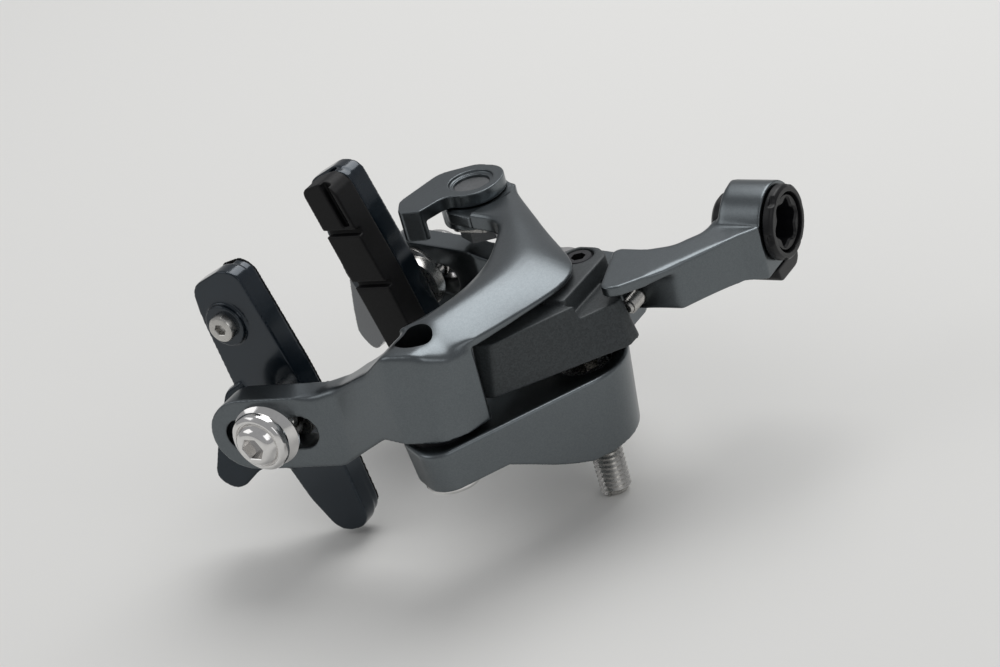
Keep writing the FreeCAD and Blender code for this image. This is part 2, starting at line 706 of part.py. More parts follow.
def quick_release_lever():
    plate = prism([
        (-35.4, -28.3, 5.8),
        (-22.6, -28.3, 5.8),
        (-22.6, -36.5, 3),
        (-16.4, -38.8, 2),
        (-15.4, -43.2, 2),
        (-20.0, -45.6, 3),
        (-31.5, -43.2, 5),
        (-35.6, -37.0, 3),
    ], LEVER_BACK, LEVER_FRONT)
    tab = prism([
        (-17.8, -38.4, 0.5),
        (-16.4, -38.8, 0.5),
        (-15.4, -43.2, 1.4),
        (-19.8, -45.4, 1.4),
        (-20.8, -43.6, 0.5),
        (-17.6, -41.8, 0.6),
    ], 30.0, LEVER_FRONT)
    lever = fused([plate, tab])
    rim = rod(ANCHOR_X, ANCHOR_Y, ANCHOR_NECK_RADIUS + 0.9, LEVER_FRONT - 0.6, 40)
    lever = lever.cut(rod(ANCHOR_X, ANCHOR_Y, ANCHOR_NECK_RADIUS + RUNNING_GAP, 0, 40))
    return lever.cut(rim)


# Brake shoes, drawn as (outward, height, length) on the shoe's own axes
def placed_shoe(shape, side):
    """Carry a shoe piece from its own axes onto its arm."""
    copy = shape.copy()
    copy.rotate(V(0, 0, 0), X_AXIS, math.degrees(SHOE_TILT))
    copy.translate(V(SHOE_FACE_X, SHOE_Y, SHOE_Z))
    return copy if side > 0 else mirrored(copy)


def shoe_prism(points, low, high):
    """Outline given in (length, height), raised outward from low to high."""
    return side_prism([(h, l, r) for l, h, r in points], low, high)


def shoe_holder(side):
    plate = shoe_prism([
        (29.4, 0.6, 4.5),
        (27.6, 4.0, 3.0),
        (6.0, 4.0, 30.0),
        (-14.0, 2.9, 30.0),
        (-27.2, 1.0, 4.0),
        (-27.2, -6.8, 4.0),
        (-19.0, -9.4, 5.0),
        (-11.5, -10.2, 3.0),
        (8.0, -11.4, 6.0),
        (21.5, -9.6, 3.0),
        (27.9, -7.8, 3.6),
    ], -HOLDER_PLATE, 0)
    rim = shoe_prism([
        (29.2, 0.6, 4.5),
        (27.4, 4.0, 3.0),
        (6.0, 4.0, 30.0),
        (-14.0, 2.9, 30.0),
        (-26.6, 1.0, 4.0),
        (-26.6, -6.6, 4.0),
        (28.4, -6.0, 4.0),
    ], -HOLDER_WALL, -HOLDER_PLATE)
    channel = Part.makeBox(10, 5.4, 80, V(-10 - HOLDER_PLATE, -4.4, -24.5))
    rim = rim.cut(channel)
    guide = shoe_prism([
        (7.6, 0.0, 0.5),
        (7.0, -4.6, 3.0),
        (-1.6, -11.4, 6.0),
        (-7.6, -15.4, 3.0),
        (-12.2, -12.6, 3.0),
        (-9.6, -6.4, 3.0),
        (-12.4, 0.0, 0.5),
    ], -2.0, 0)
    guide.rotate(V(0, 0, 0), Z_AXIS, WHEEL_GUIDE_TILT)
    guide = moved(guide, -0.1, -8.4, 0)
    boss = rod_x(PAD_SCREW_H, PAD_SCREW_L, 4.2, -HOLDER_PLATE, 1.0)
    holder = fused([plate, rim, guide, boss])
    holder = holder.cut(rod_x(0, 0, SHOE_BOLT_RADIUS, -10, 10))
    holder = holder.cut(rod_x(PAD_SCREW_H, PAD_SCREW_L, PAD_SCREW_RADIUS, -10, 10))
    return placed_shoe(holder, side)


def brake_pad(side):
    depth = PAD_FACES[side]
    block = shoe_prism([
        (28.8, -3.6, 1.5),
        (29.0, 2.5, 3.0),
        (26.0, 4.0, 2.0),
        (6.0, 4.0, 30.0),
        (-14.0, 2.9, 30.0),
        (-24.4, 1.3, 2.0),
        (-26.0, -1.6, 2.0),
        (-25.2, -4.6, 2.0),
    ], -depth, -HOLDER_WALL)
    tongue = shoe_prism([
        (27.0, -4.4, 0.5),
        (27.0, 1.0, 0.5),
        (-24.5, 1.0, 0.5),
        (-24.5, -4.4, 0.5),
    ], -HOLDER_WALL, -HOLDER_PLATE)
    pad = fused([block, tongue])
    if depth > HOLDER_WALL + GROOVE_DEPTH:
        for length in PAD_GROOVES:
            groove = Part.makeBox(GROOVE_DEPTH + 1, 12, 1.3, V(-depth - 1, -7, length))
            groove.rotate(V(0, 0, length), X_AXIS, -12)
            pad = pad.cut(groove)
        pad = pad.cut(Part.makeBox(GROOVE_DEPTH + 1, 1.6, 9.5, V(-depth - 1, 1.4, 19.2)))
    return placed_shoe(pad, side)


def pad_screw(side):
    screw = revolved([
        (0, -HOLDER_PLATE),
        (PAD_SCREW_RADIUS, -HOLDER_PLATE),
        (PAD_SCREW_RADIUS, 1.0),
        (PAD_SCREW_HEAD, 1.0),
        (PAD_SCREW_HEAD, 2.1),
        (PAD_SCREW_HEAD - 0.4, 2.5),
        (0, 2.5),
    ])
    screw = screw.cut(hexagon(2.0, 1.2, 4))
    screw.rotate(V(0, 0, 0), Y_AXIS, 90)
    return placed_shoe(moved(screw, 0, PAD_SCREW_H, PAD_SCREW_L), side)


def tilted_along_tongue(shape, x):
    """Stand a Z-drawn piece on the bolt axis, square to the tongue."""
    copy = shape.copy()
    copy.rotate(V(0, 0, 0), Y_AXIS, 90)
    copy.rotate(V(0, 0, 0), Z_AXIS, math.degrees(FLARE))
    copy.translate(V(x, SHOE_Y, SHOE_Z))
    return copy


def dome_washer(base, facing, through):
    """Ring from a flat base at a height to a ball round the origin."""
    low, high = sorted((base, facing * (BALL_RADIUS + 1)))
    ring = rod(0, 0, DOME_WASHER_RADIUS, low, high).common(Part.makeSphere(BALL_RADIUS))
    return ring.cut(rod(0, 0, through, -20, 20))


def shoe_stack():
    """Bolt and ball washers of the +X shoe, from the tongue's faces."""
    outer_x = tongue_x(SHOE_Y)
    inner_x = outer_x - TONGUE_THICKNESS / math.cos(FLARE)
    # Holder side: cup on the holder, dome on the tongue
    inner_centre = SHOE_FACE_X + CUP_FLOOR + BALL_RADIUS
    inner_base = (inner_x - inner_centre) * math.cos(FLARE)
    through = SHOE_BOLT_RADIUS + (inner_centre - inner_x) * math.sin(FLARE) + 2 * FREE_GAP
    inner_dome = tilted_along_tongue(dome_washer(inner_base, -1, through), inner_centre)
    ball = Part.makeSphere(BALL_RADIUS + RUNNING_GAP, V(inner_centre, SHOE_Y, SHOE_Z))
    cup = rod_x(SHOE_Y, SHOE_Z, CUP_RADIUS, SHOE_FACE_X, SHOE_FACE_X + BALL_RADIUS)
    cup = cup.cut(ball).common(rod_x(SHOE_Y, SHOE_Z, CUP_RADIUS, SHOE_FACE_X, SHOE_FACE_X + 3))
    cup = cup.cut(rod_x(SHOE_Y, SHOE_Z, SHOE_BOLT_RADIUS, 0, 60))
    # Outer side: dome on the tongue, cupped flange under the bolt head
    outer_base = BALL_RADIUS - OUTER_DOME_RISE
    outer_centre = outer_x - outer_base / math.cos(FLARE)
    through = SHOE_BOLT_RADIUS + (outer_x - outer_centre) * math.sin(FLARE) + 2 * FREE_GAP
    outer_dome = tilted_along_tongue(dome_washer(outer_base, 1, through), outer_centre)
    centre = outer_centre - SHOE_FACE_X
    top = centre + BALL_RADIUS + FLANGE_FLOOR
    rim = centre + math.sqrt(BALL_RADIUS ** 2 - FLANGE_RADIUS ** 2)
    head = revolved([
        (0, rim),
        (FLANGE_RADIUS, rim),
        (FLANGE_RADIUS, top - 0.5),
        (FLANGE_RADIUS - 0.4, top),
        (4.2, top),
        (3.9, top + 0.9),
        (2.9, top + 1.6),
        (0, top + 1.6),
    ])
    head = head.cut(Part.makeSphere(BALL_RADIUS + RUNNING_GAP, V(0, 0, centre)))
    shank = rod(0, 0, SHOE_BOLT_RADIUS, -HOLDER_PLATE, top)
    bolt = fused([shank, head]).cut(hexagon(SHOE_SOCKET, top - 1.2, top + 5))
    bolt.rotate(V(0, 0, 0), Y_AXIS, 90)
    bolt = moved(bolt, SHOE_FACE_X, SHOE_Y, SHOE_Z)
    return {
        "shoe_bolt": bolt,
        "dome_washer_inner": inner_dome,
        "cup_washer": cup,
        "dome_washer_outer": outer_dome,
    }


def build():
    parts = {
        "bracket": bracket(),
        "mounting_bolt": mounting_bolt(),
        "pivot_bolt_right": pivot_bolt(1),
        "pivot_bolt_left": pivot_bolt(-1),
        "pivot_thrust_washers": thrust_washers(),
        "pivot_clips": pivot_clips(),
        "arch_arm": arch_arm(),
        "arch_bush": bush(1),
        "cable_anchor_bolt": cable_anchor_bolt(),
        "cable_clamp_plate": cable_clamp_plate(),
        "quick_release_lever": quick_release_lever(),
        "barrel_arm": barrel_arm(),
        "barrel_bush": bush(-1),
        "roller_carrier": roller_carrier(),
        "cam_roller": cam_roller(),
        "roller_pin": roller_pin(),
        "carrier_screw": carrier_screw(),
        "centring_screw": centring_screw(),
        "adjuster_barrel": adjuster_barrel(),
        "adjuster_knob": adjuster_knob(),
        "adjuster_detent": adjuster_detent(),
    }
    stack = shoe_stack()
    for name, side in (("right", 1), ("left", -1)):
        parts[name + "_shoe_holder"] = shoe_holder(side)
        parts[name + "_brake_pad"] = brake_pad(side)
        parts[name + "_pad_screw"] = pad_screw(side)
        for piece, shape in stack.items():
            parts[name + "_" + piece] = shape if side > 0 else mirrored(shape)
    return parts


os.makedirs("parts", exist_ok=True)
for node, shape in build().items():
    shape.exportStep("parts/" + node + ".step")
    print(node, shape.ShapeType, len(shape.Solids), shape.isValid(), round(shape.Volume, 2))
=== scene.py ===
"""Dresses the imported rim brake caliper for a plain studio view."""
import json
import logging
import math
from dataclasses import dataclass, replace
from enum import Enum

import bmesh
import bpy
import numpy as np
from mathutils import Matrix, Vector
from mathutils.bvhtree import BVHTree


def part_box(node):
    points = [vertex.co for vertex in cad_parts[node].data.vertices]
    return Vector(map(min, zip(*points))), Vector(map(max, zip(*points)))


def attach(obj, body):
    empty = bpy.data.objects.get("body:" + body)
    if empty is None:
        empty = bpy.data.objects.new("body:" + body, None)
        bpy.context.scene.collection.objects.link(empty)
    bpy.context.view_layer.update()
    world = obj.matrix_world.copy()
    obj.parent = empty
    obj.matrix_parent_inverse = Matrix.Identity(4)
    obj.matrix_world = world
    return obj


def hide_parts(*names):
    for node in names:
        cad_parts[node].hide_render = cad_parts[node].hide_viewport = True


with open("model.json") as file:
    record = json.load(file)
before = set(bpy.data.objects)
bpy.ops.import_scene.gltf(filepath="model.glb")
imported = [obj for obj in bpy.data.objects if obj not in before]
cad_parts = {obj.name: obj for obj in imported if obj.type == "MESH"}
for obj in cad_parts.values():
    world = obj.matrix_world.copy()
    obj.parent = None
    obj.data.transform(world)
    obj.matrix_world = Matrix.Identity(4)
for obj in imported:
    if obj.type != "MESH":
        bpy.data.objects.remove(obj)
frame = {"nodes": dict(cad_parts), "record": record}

LOG = logging.getLogger("caliper")
MM = 0.001
Colour = tuple[float, float, float]
Place = tuple[float, float, float]
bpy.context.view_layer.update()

# Edges steeper than this stay sharp on turned pieces
TURNED_CREASE = math.radians(28)
# Lobes of the adjuster's mouth, and how far they stand out in millimetres
LOBES = 6
LOBE_DEPTH = 0.45


class Axis(Enum):
    """Direction of a turned piece, as the turns about X and Y that lead there from +Z."""

    UP = (0.0, 0.0)
    DOWN = (math.pi, 0.0)
    ALONG_Y = (-math.pi / 2, 0.0)
    ALONG_X = (0.0, math.pi / 2)
    AGAINST_X = (0.0, -math.pi / 2)

    def stand(self, foot: Vector) -> Matrix:
        """Finds the matrix that stands an upright mesh along this axis.

        Args:
            foot: Where the axis starts, in metres.

        Returns:
            The matrix.
        """
        about_x, about_y = self.value
        return Matrix.Translation(foot) @ Matrix.Rotation(about_y, 4, "Y") @ Matrix.Rotation(about_x, 4, "X")


class Shape(Enum):
    """Plan of one ring of a turned piece."""

    ROUND = 0
    HEXAGON = 1
    LOBED = 2


class Side(Enum):
    """Side of the brake, by the word that its nodes carry."""

    RIGHT = "right"
    LEFT = "left"

    def outward(self) -> Axis:
        """Returns the axis that points away from the wheel."""
        return Axis.ALONG_X if self is Side.RIGHT else Axis.AGAINST_X


class ShaderGraph:
    """Small helper that adds and links nodes in one tree."""

    def __init__(self, tree: bpy.types.NodeTree) -> None:
        """Wraps a tree.

        Args:
            tree: The node tree to fill.
        """
        self.tree = tree

    def add(self, kind: str, **values: object) -> bpy.types.Node:
        """Adds a node and sets inputs or properties by name.

        Args:
            kind: The node's type name.
            **values: Input values with underscores for spaces, or properties.

        Returns:
            The new node.
        """
        node = self.tree.nodes.new(kind)
        for name, value in values.items():
            if hasattr(node, name):
                setattr(node, name, value)
            else:
                node.inputs[name.replace("_", " ")].default_value = value
        return node

    def link(self, source: bpy.types.NodeSocket, target: bpy.types.NodeSocket) -> None:
        """Links an output to an input.

        Args:
            source: The output socket.
            target: The input socket.
        """
        self.tree.links.new(source, target)


def grain_group() -> bpy.types.NodeTree:
    """Makes the shared group for flake, handling marks and fine relief.

    Returns:
        A shader group with the outputs Tint, Roughness and Height.
    """
    group = bpy.data.node_groups.new("surface_grain", "ShaderNodeTree")
    face = group.interface
    usual = {"Scale": 900.0, "Flake": 0.2, "Roughness": 0.4, "Spread": 0.1, "Marks": 0.1}
    for name, value in usual.items():
        face.new_socket(name=name, in_out="INPUT", socket_type="NodeSocketFloat").default_value = value
    face.new_socket(name="Colour", in_out="INPUT", socket_type="NodeSocketColor")
    face.new_socket(name="Tint", in_out="OUTPUT", socket_type="NodeSocketColor")
    face.new_socket(name="Roughness", in_out="OUTPUT", socket_type="NodeSocketFloat")
    face.new_socket(name="Height", in_out="OUTPUT", socket_type="NodeSocketFloat")
    graph = ShaderGraph(group)
    entry = graph.add("NodeGroupInput")
    leave = graph.add("NodeGroupOutput")
    place = graph.add("ShaderNodeTexCoord")
    fine = graph.add("ShaderNodeTexNoise", Detail=3.0, Roughness=0.6)
    cells = graph.add("ShaderNodeTexVoronoi", Randomness=1.0)
    broad = graph.add("ShaderNodeTexNoise", Scale=60.0, Detail=4.0, Roughness=0.55)
    for node in (fine, cells, broad):
        graph.link(place.outputs["Object"], node.inputs["Vector"])
    graph.link(entry.outputs["Scale"], fine.inputs["Scale"])
    graph.link(entry.outputs["Scale"], cells.inputs["Scale"])
    # Flake: each cell is a little lighter or darker than the colour
    bright = graph.add("ShaderNodeSeparateColor")
    graph.link(cells.outputs["Color"], bright.inputs["Color"])
    centred = graph.add("ShaderNodeMath", operation="SUBTRACT")
    graph.link(bright.outputs[0], centred.inputs[0])
    centred.inputs[1].default_value = 0.5
    flake = graph.add("ShaderNodeMath", operation="MULTIPLY_ADD")
    graph.link(centred.outputs[0], flake.inputs[0])
    graph.link(entry.outputs["Flake"], flake.inputs[1])
    flake.inputs[2].default_value = 1.0
    # Marks: broad patches that are lighter
    worn = graph.add("ShaderNodeMapRange", From_Min=0.35, From_Max=0.75)
    graph.link(broad.outputs["Fac"], worn.inputs["Value"])
    shade = graph.add("ShaderNodeMath", operation="MULTIPLY_ADD")
    graph.link(worn.outputs[0], shade.inputs[0])
    graph.link(entry.outputs["Marks"], shade.inputs[1])
    graph.link(flake.outputs[0], shade.inputs[2])
    tint = graph.add("ShaderNodeVectorMath", operation="SCALE")
    graph.link(entry.outputs["Colour"], tint.inputs[0])
    graph.link(shade.outputs[0], tint.inputs["Scale"])
    graph.link(tint.outputs[0], leave.inputs["Tint"])
    # Roughness: the fine noise spreads it on both sides of its mean
    offset = graph.add("ShaderNodeMath", operation="SUBTRACT")
    graph.link(fine.outputs["Fac"], offset.inputs[0])
    offset.inputs[1].default_value = 0.5
    rough = graph.add("ShaderNodeMath", operation="MULTIPLY_ADD", use_clamp=True)
    graph.link(offset.outputs[0], rough.inputs[0])
    graph.link(entry.outputs["Spread"], rough.inputs[1])
    graph.link(entry.outputs["Roughness"], rough.inputs[2])
    graph.link(rough.outputs[0], leave.inputs["Roughness"])
    graph.link(fine.outputs["Fac"], leave.inputs["Height"])
    return group


@dataclass(frozen=True)
class Finish:
    """One surface finish of the brake.

    Attributes:
        name: Material name.
        slot: The record's material slot; not used.
        colour: Linear base colour.
        metallic: Share of metal.
        roughness: Mean roughness.
        spread: Variation of the roughness.
        scale: Size of the grain, in cells per metre.
        flake: Strength of the flake.
        marks: Strength of the broad marks.
        relief: Depth of the grain's relief, in metres.
        coat: Weight of a clear coat.
        coat_roughness: Roughness of that coat.
        specular: Strength of the plain reflection.
    """

    name: str
    slot: str
    colour: Colour
    metallic: float
    roughness: float
    spread: float = 0.1
    scale: float = 1500.0
    flake: float = 0.0
    marks: float = 0.0
    relief: float = 0.0
    coat: float = 0.0
    coat_roughness: float = 0.1
    specular: float = 0.5

    def material(self, group: bpy.types.NodeTree) -> bpy.types.Material:
        """Builds the material.

        Args:
            group: The shared grain group.

        Returns:
            The material with its nodes.
        """
        made = bpy.data.materials.new(self.name)
        made.use_nodes = True
        graph = ShaderGraph(made.node_tree)
        shader = made.node_tree.nodes["Principled BSDF"]
        shader.inputs["Metallic"].default_value = self.metallic
        shader.inputs["Specular IOR Level"].default_value = self.specular
        shader.inputs["Coat Weight"].default_value = self.coat
        shader.inputs["Coat Roughness"].default_value = self.coat_roughness
        grain = graph.add("ShaderNodeGroup", node_tree=group)
        grain.inputs["Scale"].default_value = self.scale
        grain.inputs["Flake"].default_value = self.flake
        grain.inputs["Roughness"].default_value = self.roughness
        grain.inputs["Spread"].default_value = self.spread
        grain.inputs["Marks"].default_value = self.marks
        grain.inputs["Colour"].default_value = (*self.colour, 1.0)
        graph.link(grain.outputs["Tint"], shader.inputs["Base Color"])
        graph.link(grain.outputs["Roughness"], shader.inputs["Roughness"])
        if self.relief > 0:
            bump = graph.add("ShaderNodeBump", Strength=1.0, Distance=self.relief)
            graph.link(grain.outputs["Height"], bump.inputs["Height"])
            graph.link(bump.outputs["Normal"], shader.inputs["Normal"])
        LOG.info("finish %s", self.name)
        return made


GUNMETAL = Finish(
    "satin_gunmetal", "gunmetal", (0.134, 0.149, 0.158), metallic=1.0, roughness=0.3,
    spread=0.07, scale=5200.0, flake=0.14, marks=0.06, relief=1.2e-6,
)
CHARCOAL = Finish(
    "matt_charcoal", "charcoal", (0.04, 0.046, 0.049), metallic=0.3, roughness=0.48,
    spread=0.16, scale=3600.0, flake=0.45, marks=0.08, relief=9e-6,
)
HOLDER = Finish(
    "gloss_navy", "holder_black", (0.006, 0.013, 0.021), metallic=0.6, roughness=0.2,
    spread=0.08, scale=2400.0, flake=0.15, marks=0.4, coat=0.5, coat_roughness=0.14,
)
RUBBER = Finish(
    "pad_rubber", "pad_rubber", (0.005, 0.005, 0.0055), metallic=0.0, roughness=0.5,
    spread=0.2, scale=2400.0, flake=0.3, marks=0.5, relief=1e-5, specular=0.22,
)
PLASTIC = Finish(
    "black_plastic", "black_plastic", (0.005, 0.005, 0.006), metallic=0.0, roughness=0.38,
    spread=0.15, scale=2400.0, flake=0.2, marks=0.2, relief=4e-6, specular=0.3,
)
CHROME = Finish(
    "bright_chrome", "chrome_steel", (0.72, 0.71, 0.7), metallic=1.0, roughness=0.12,
    spread=0.05, flake=0.05, marks=0.03,
)
STEEL = Finish(
    "plain_steel", "steel", (0.5, 0.49, 0.47), metallic=1.0, roughness=0.28,
    spread=0.15, scale=2400.0, flake=0.12, marks=0.1, relief=2e-6,
)
GREY_STEEL = Finish(
    "grey_steel", "steel", (0.17, 0.175, 0.18), metallic=0.95, roughness=0.38,
    spread=0.15, scale=2400.0, flake=0.15, marks=0.1, relief=2e-6,
)
DARK_STEEL = Finish(
    "dark_steel", "dark_steel", (0.05, 0.05, 0.054), metallic=0.9, roughness=0.35,
    scale=2400.0, flake=0.1, marks=0.1,
)
BUSH = Finish("bush_metal", "bush", (0.4, 0.32, 0.18), metallic=1.0, roughness=0.4)
ALL_FINISHES = (GUNMETAL, CHARCOAL, HOLDER, RUBBER, PLASTIC, CHROME, STEEL, GREY_STEEL, DARK_STEEL, BUSH)


@dataclass(frozen=True)
class Melt:
    """A ball inside which a form flows more softly.

    Attributes:
        centre: Centre in millimetres.
        radius: Radius in millimetres.
    """

    centre: Place
    radius: float


@dataclass(frozen=True)
class Softening:
    """How a solid gets its soft edges.

    Attributes:
        voxel: Grid size in millimetres.
        rounds: Smoothing rounds all over.
        keep: Share of the faces to keep.
        plugs: Closed meshes that fill holes before the smoothing.
        melts: Places with extra smoothing.
        melt_rounds: Rounds of that extra smoothing.
        cutters: Closed meshes that open the holes again.
    """

    # Strength of one smoothing round, sharpest soft edge, and the extra smoothing's weights
    STRENGTH = 0.5
    CREASE = math.radians(50)
    GROUP = "melt"
    LEVELS = 20

    voxel: float
    rounds: int
    keep: float = 1.0
    plugs: tuple[bpy.types.Mesh, ...] = ()
    melts: tuple[Melt, ...] = ()
    melt_rounds: int = 0
    cutters: tuple[bpy.types.Mesh, ...] = ()

    def weigh(self, work: bpy.types.Object) -> None:
        """Writes the extra smoothing's weights on an object.

        Args:
            work: The object, with its mesh in the row frame.
        """
        spots = np.empty(len(work.data.vertices) * 3)
        work.data.vertices.foreach_get("co", spots)
        spots = spots.reshape(-1, 3)
        weights = np.zeros(len(spots))
        for melt in self.melts:
            away = np.linalg.norm(spots - np.array(melt.centre) * MM, axis=1) / (melt.radius * MM)
            weights = np.maximum(weights, np.clip(1 - away ** 2, 0, 1))
        group = work.vertex_groups.new(name=self.GROUP)
        levels = np.rint(weights * self.LEVELS).astype(int)
        for level in range(1, self.LEVELS + 1):
            chosen = np.nonzero(levels == level)[0]
            if len(chosen):
                group.add(chosen.tolist(), level / self.LEVELS, "REPLACE")

    def smooth(self, work: bpy.types.Object, name: str, rounds: int, group: str = "") -> None:
        """Adds a smoothing modifier.

        Args:
            work: The object.
            name: The modifier's name.
            rounds: Number of rounds.
            group: Vertex group that holds its weights, if any.
        """
        smoothing = work.modifiers.new(name, "SMOOTH")
        smoothing.factor = self.STRENGTH
        smoothing.iterations = rounds
        smoothing.vertex_group = group

    def skin(self, node: str) -> bpy.types.Mesh:
        """Makes the softened mesh of a CAD node.

        Args:
            node: The CAD node.

        Returns:
            The mesh in the row frame.
        """
        work = work_object(joined([frame["nodes"][node].data.copy(), *self.plugs]), node + "_work")
        grid = work.modifiers.new("grid", "REMESH")
        grid.mode = "VOXEL"
        grid.voxel_size = self.voxel * MM
        work.data = evaluated(work)
        if self.melts:
            self.weigh(work)
            self.smooth(work, "melt", self.melt_rounds, self.GROUP)
        self.smooth(work, "ease", self.rounds)
        thin = work.modifiers.new("thin", "DECIMATE")
        thin.ratio = self.keep
        tools = [work_object(cutter, node + "_tool") for cutter in self.cutters]
        for tool in tools:
            bore = work.modifiers.new("bore", "BOOLEAN")
            bore.operation = "DIFFERENCE"
            bore.object = tool
        mesh = evaluated(work)
        for spent in [work, *tools]:
            bpy.data.objects.remove(spent)
        round_off(mesh, self.CREASE)
        return mesh


def work_object(mesh: bpy.types.Mesh, name: str) -> bpy.types.Object:
    """Puts a mesh into the scene while it is worked on.

    Args:
        mesh: The mesh.
        name: Name of the object.

    Returns:
        The object, which the caller removes.
    """
    work = bpy.data.objects.new(name, mesh)
    bpy.context.scene.collection.objects.link(work)
    return work


def evaluated(work: bpy.types.Object) -> bpy.types.Mesh:
    """Turns an object and its modifiers into a plain mesh and clears the modifiers.

    Args:
        work: The object.

    Returns:
        A new mesh with the modifiers' result.
    """
    bpy.context.view_layer.update()
    graph = bpy.context.evaluated_depsgraph_get()
    mesh = bpy.data.meshes.new_from_object(work.evaluated_get(graph))
    work.modifiers.clear()
    return mesh


def round_off(mesh: bpy.types.Mesh, crease: float) -> None:
    """Shades a mesh smooth, apart from its steep edges.

    Args:
        mesh: The mesh.
        crease: Angle from which an edge stays sharp, in radians.
    """
    mesh.polygons.foreach_set("use_smooth", [True] * len(mesh.polygons))
    mesh.set_sharp_from_angle(angle=crease)


def joined(meshes: list[bpy.types.Mesh]) -> bpy.types.Mesh:
    """Puts several meshes into one.

    Args:
        meshes: The meshes, all in the row frame.

    Returns:
        One mesh.
    """
    build = bmesh.new()
    for mesh in meshes:
        build.from_mesh(mesh)
    result = bpy.data.meshes.new("joined")
    build.to_mesh(result)
    build.free()
    result.set_sharp_from_angle(angle=TURNED_CREASE)
    return result


@dataclass(frozen=True)
class Ring:
    """One ring of a turned piece.

    Attributes:
        radius: Radius, or half the distance across flats, in millimetres.
        height: Height along the axis in millimetres.
        shape: Plan of the ring.
    """

    radius: float
    height: float
    shape: Shape = Shape.ROUND

    def reach(self, angle: float) -> float:
        """Finds how far the ring lies from the axis.

        Args:
            angle: Direction in radians.

        Returns:
            The distance in millimetres.
        """
        if self.shape is Shape.HEXAGON:
            return self.radius / math.cos((angle + math.pi / 6) % (math.pi / 3) - math.pi / 6)
        if self.shape is Shape.LOBED:
            return self.radius + LOBE_DEPTH * math.cos(LOBES * angle)
        return self.radius


def skinned(build: bmesh.types.BMesh, loops: list[list[bmesh.types.BMVert]], hollow: bool) -> None:
    """Covers a row of loops with a closed skin.

    Args:
        build: The mesh that holds the loops.
        loops: Loops of points from one end to the other.
        hollow: Whether the last loop joins the first, instead of both being capped.
    """
    if hollow:
        loops.append(loops[0])
    else:
        build.faces.new(list(reversed(loops[0])))
        build.faces.new(loops[-1])
    for low, high in zip(loops, loops[1:]):
        for i in range(len(low)):
            j = (i + 1) % len(low)
            build.faces.new((low[i], low[j], high[j], high[i]))
    bmesh.ops.recalc_face_normals(build, faces=build.faces)


def turned(
    rings: list[Ring], foot: Vector, axis: Axis, segments: int = 96, hollow: bool = False
) -> bpy.types.Mesh:
    """Builds a closed piece from rings along an axis.

    Args:
        rings: Rings from one end to the other.
        foot: Where the axis starts, in metres.
        axis: Direction of the axis.
        segments: Points on each ring.
        hollow: Whether the last ring joins the first, which leaves a bore.

    Returns:
        The mesh in the row frame.
    """
    build = bmesh.new()
    angles = [2 * math.pi * i / segments for i in range(segments)]
    loops = []
    for ring in rings:
        loop = []
        for angle in angles:
            reach = ring.reach(angle)
            spot = (reach * math.cos(angle) * MM, reach * math.sin(angle) * MM, ring.height * MM)
            loop.append(build.verts.new(spot))
        loops.append(loop)
    skinned(build, loops, hollow)
    build.transform(axis.stand(foot))
    mesh = bpy.data.meshes.new("turned")
    build.to_mesh(mesh)
    build.free()
    round_off(mesh, TURNED_CREASE)
    return mesh


def socket_rings(across: float, floor: float, top: float) -> list[Ring]:
    """Lists the rings of a hexagonal socket, from its mouth down.

    Args:
        across: Distance across flats in millimetres.
        floor: Height of the floor in millimetres.
        top: Height of the mouth in millimetres.

    Returns:
        The rings.
    """
    half = across / 2
    flare, lead, drill_share, drill_depth, drill_tip = 0.1, 0.12, 0.7, 0.3, 0.1
    return [
        Ring(half + flare, top, Shape.HEXAGON),
        Ring(half, top - lead, Shape.HEXAGON),
        Ring(half, floor, Shape.HEXAGON),
        Ring(half * drill_share, floor),
        Ring(drill_tip, floor - drill_depth),
    ]


def surface_plug(node: str, centre: Vector, radius: float, floor: float) -> bpy.types.Mesh:
    """Fills an upright hole with a plug whose top follows the surface round it.

    Args:
        node: The CAD node that has the hole.
        centre: Point on the hole's axis, in metres.
        radius: Radius just outside the hole in millimetres.
        floor: Height of the plug's foot in millimetres.

    Returns:
        The closed plug in the row frame.
    """
    source = frame["nodes"][node].data
    corners = [vertex.co for vertex in source.vertices]
    tree = BVHTree.FromPolygons(corners, [tuple(polygon.vertices) for polygon in source.polygons])
    segments, above = 72, 0.1
    angles = [2 * math.pi * i / segments for i in range(segments)]
    around = [(math.cos(angle), math.sin(angle)) for angle in angles]
    heights = []
    for along_x, along_y in around:
        reach = radius * MM
        start = Vector((centre.x + reach * along_x, centre.y + reach * along_y, above))
        heights.append(tree.ray_cast(start, Vector((0, 0, -1)))[0].z)
    middle = sum(heights) / segments
    build = bmesh.new()
    loops = []
    # The foot's loop, then the top's loops from the rim to the middle
    for share, on_top in ((1.0, False), (1.0, True), (0.7, True), (0.4, True), (0.1, True)):
        reach = radius * MM * share
        loop = []
        for (along_x, along_y), height in zip(around, heights):
            level = middle + (height - middle) * share if on_top else floor * MM
            spot = (centre.x + reach * along_x, centre.y + reach * along_y, level)
            loop.append(build.verts.new(spot))
        loops.append(loop)
    skinned(build, loops, False)
    mesh = bpy.data.meshes.new("plug")
    build.to_mesh(mesh)
    build.free()
    return mesh


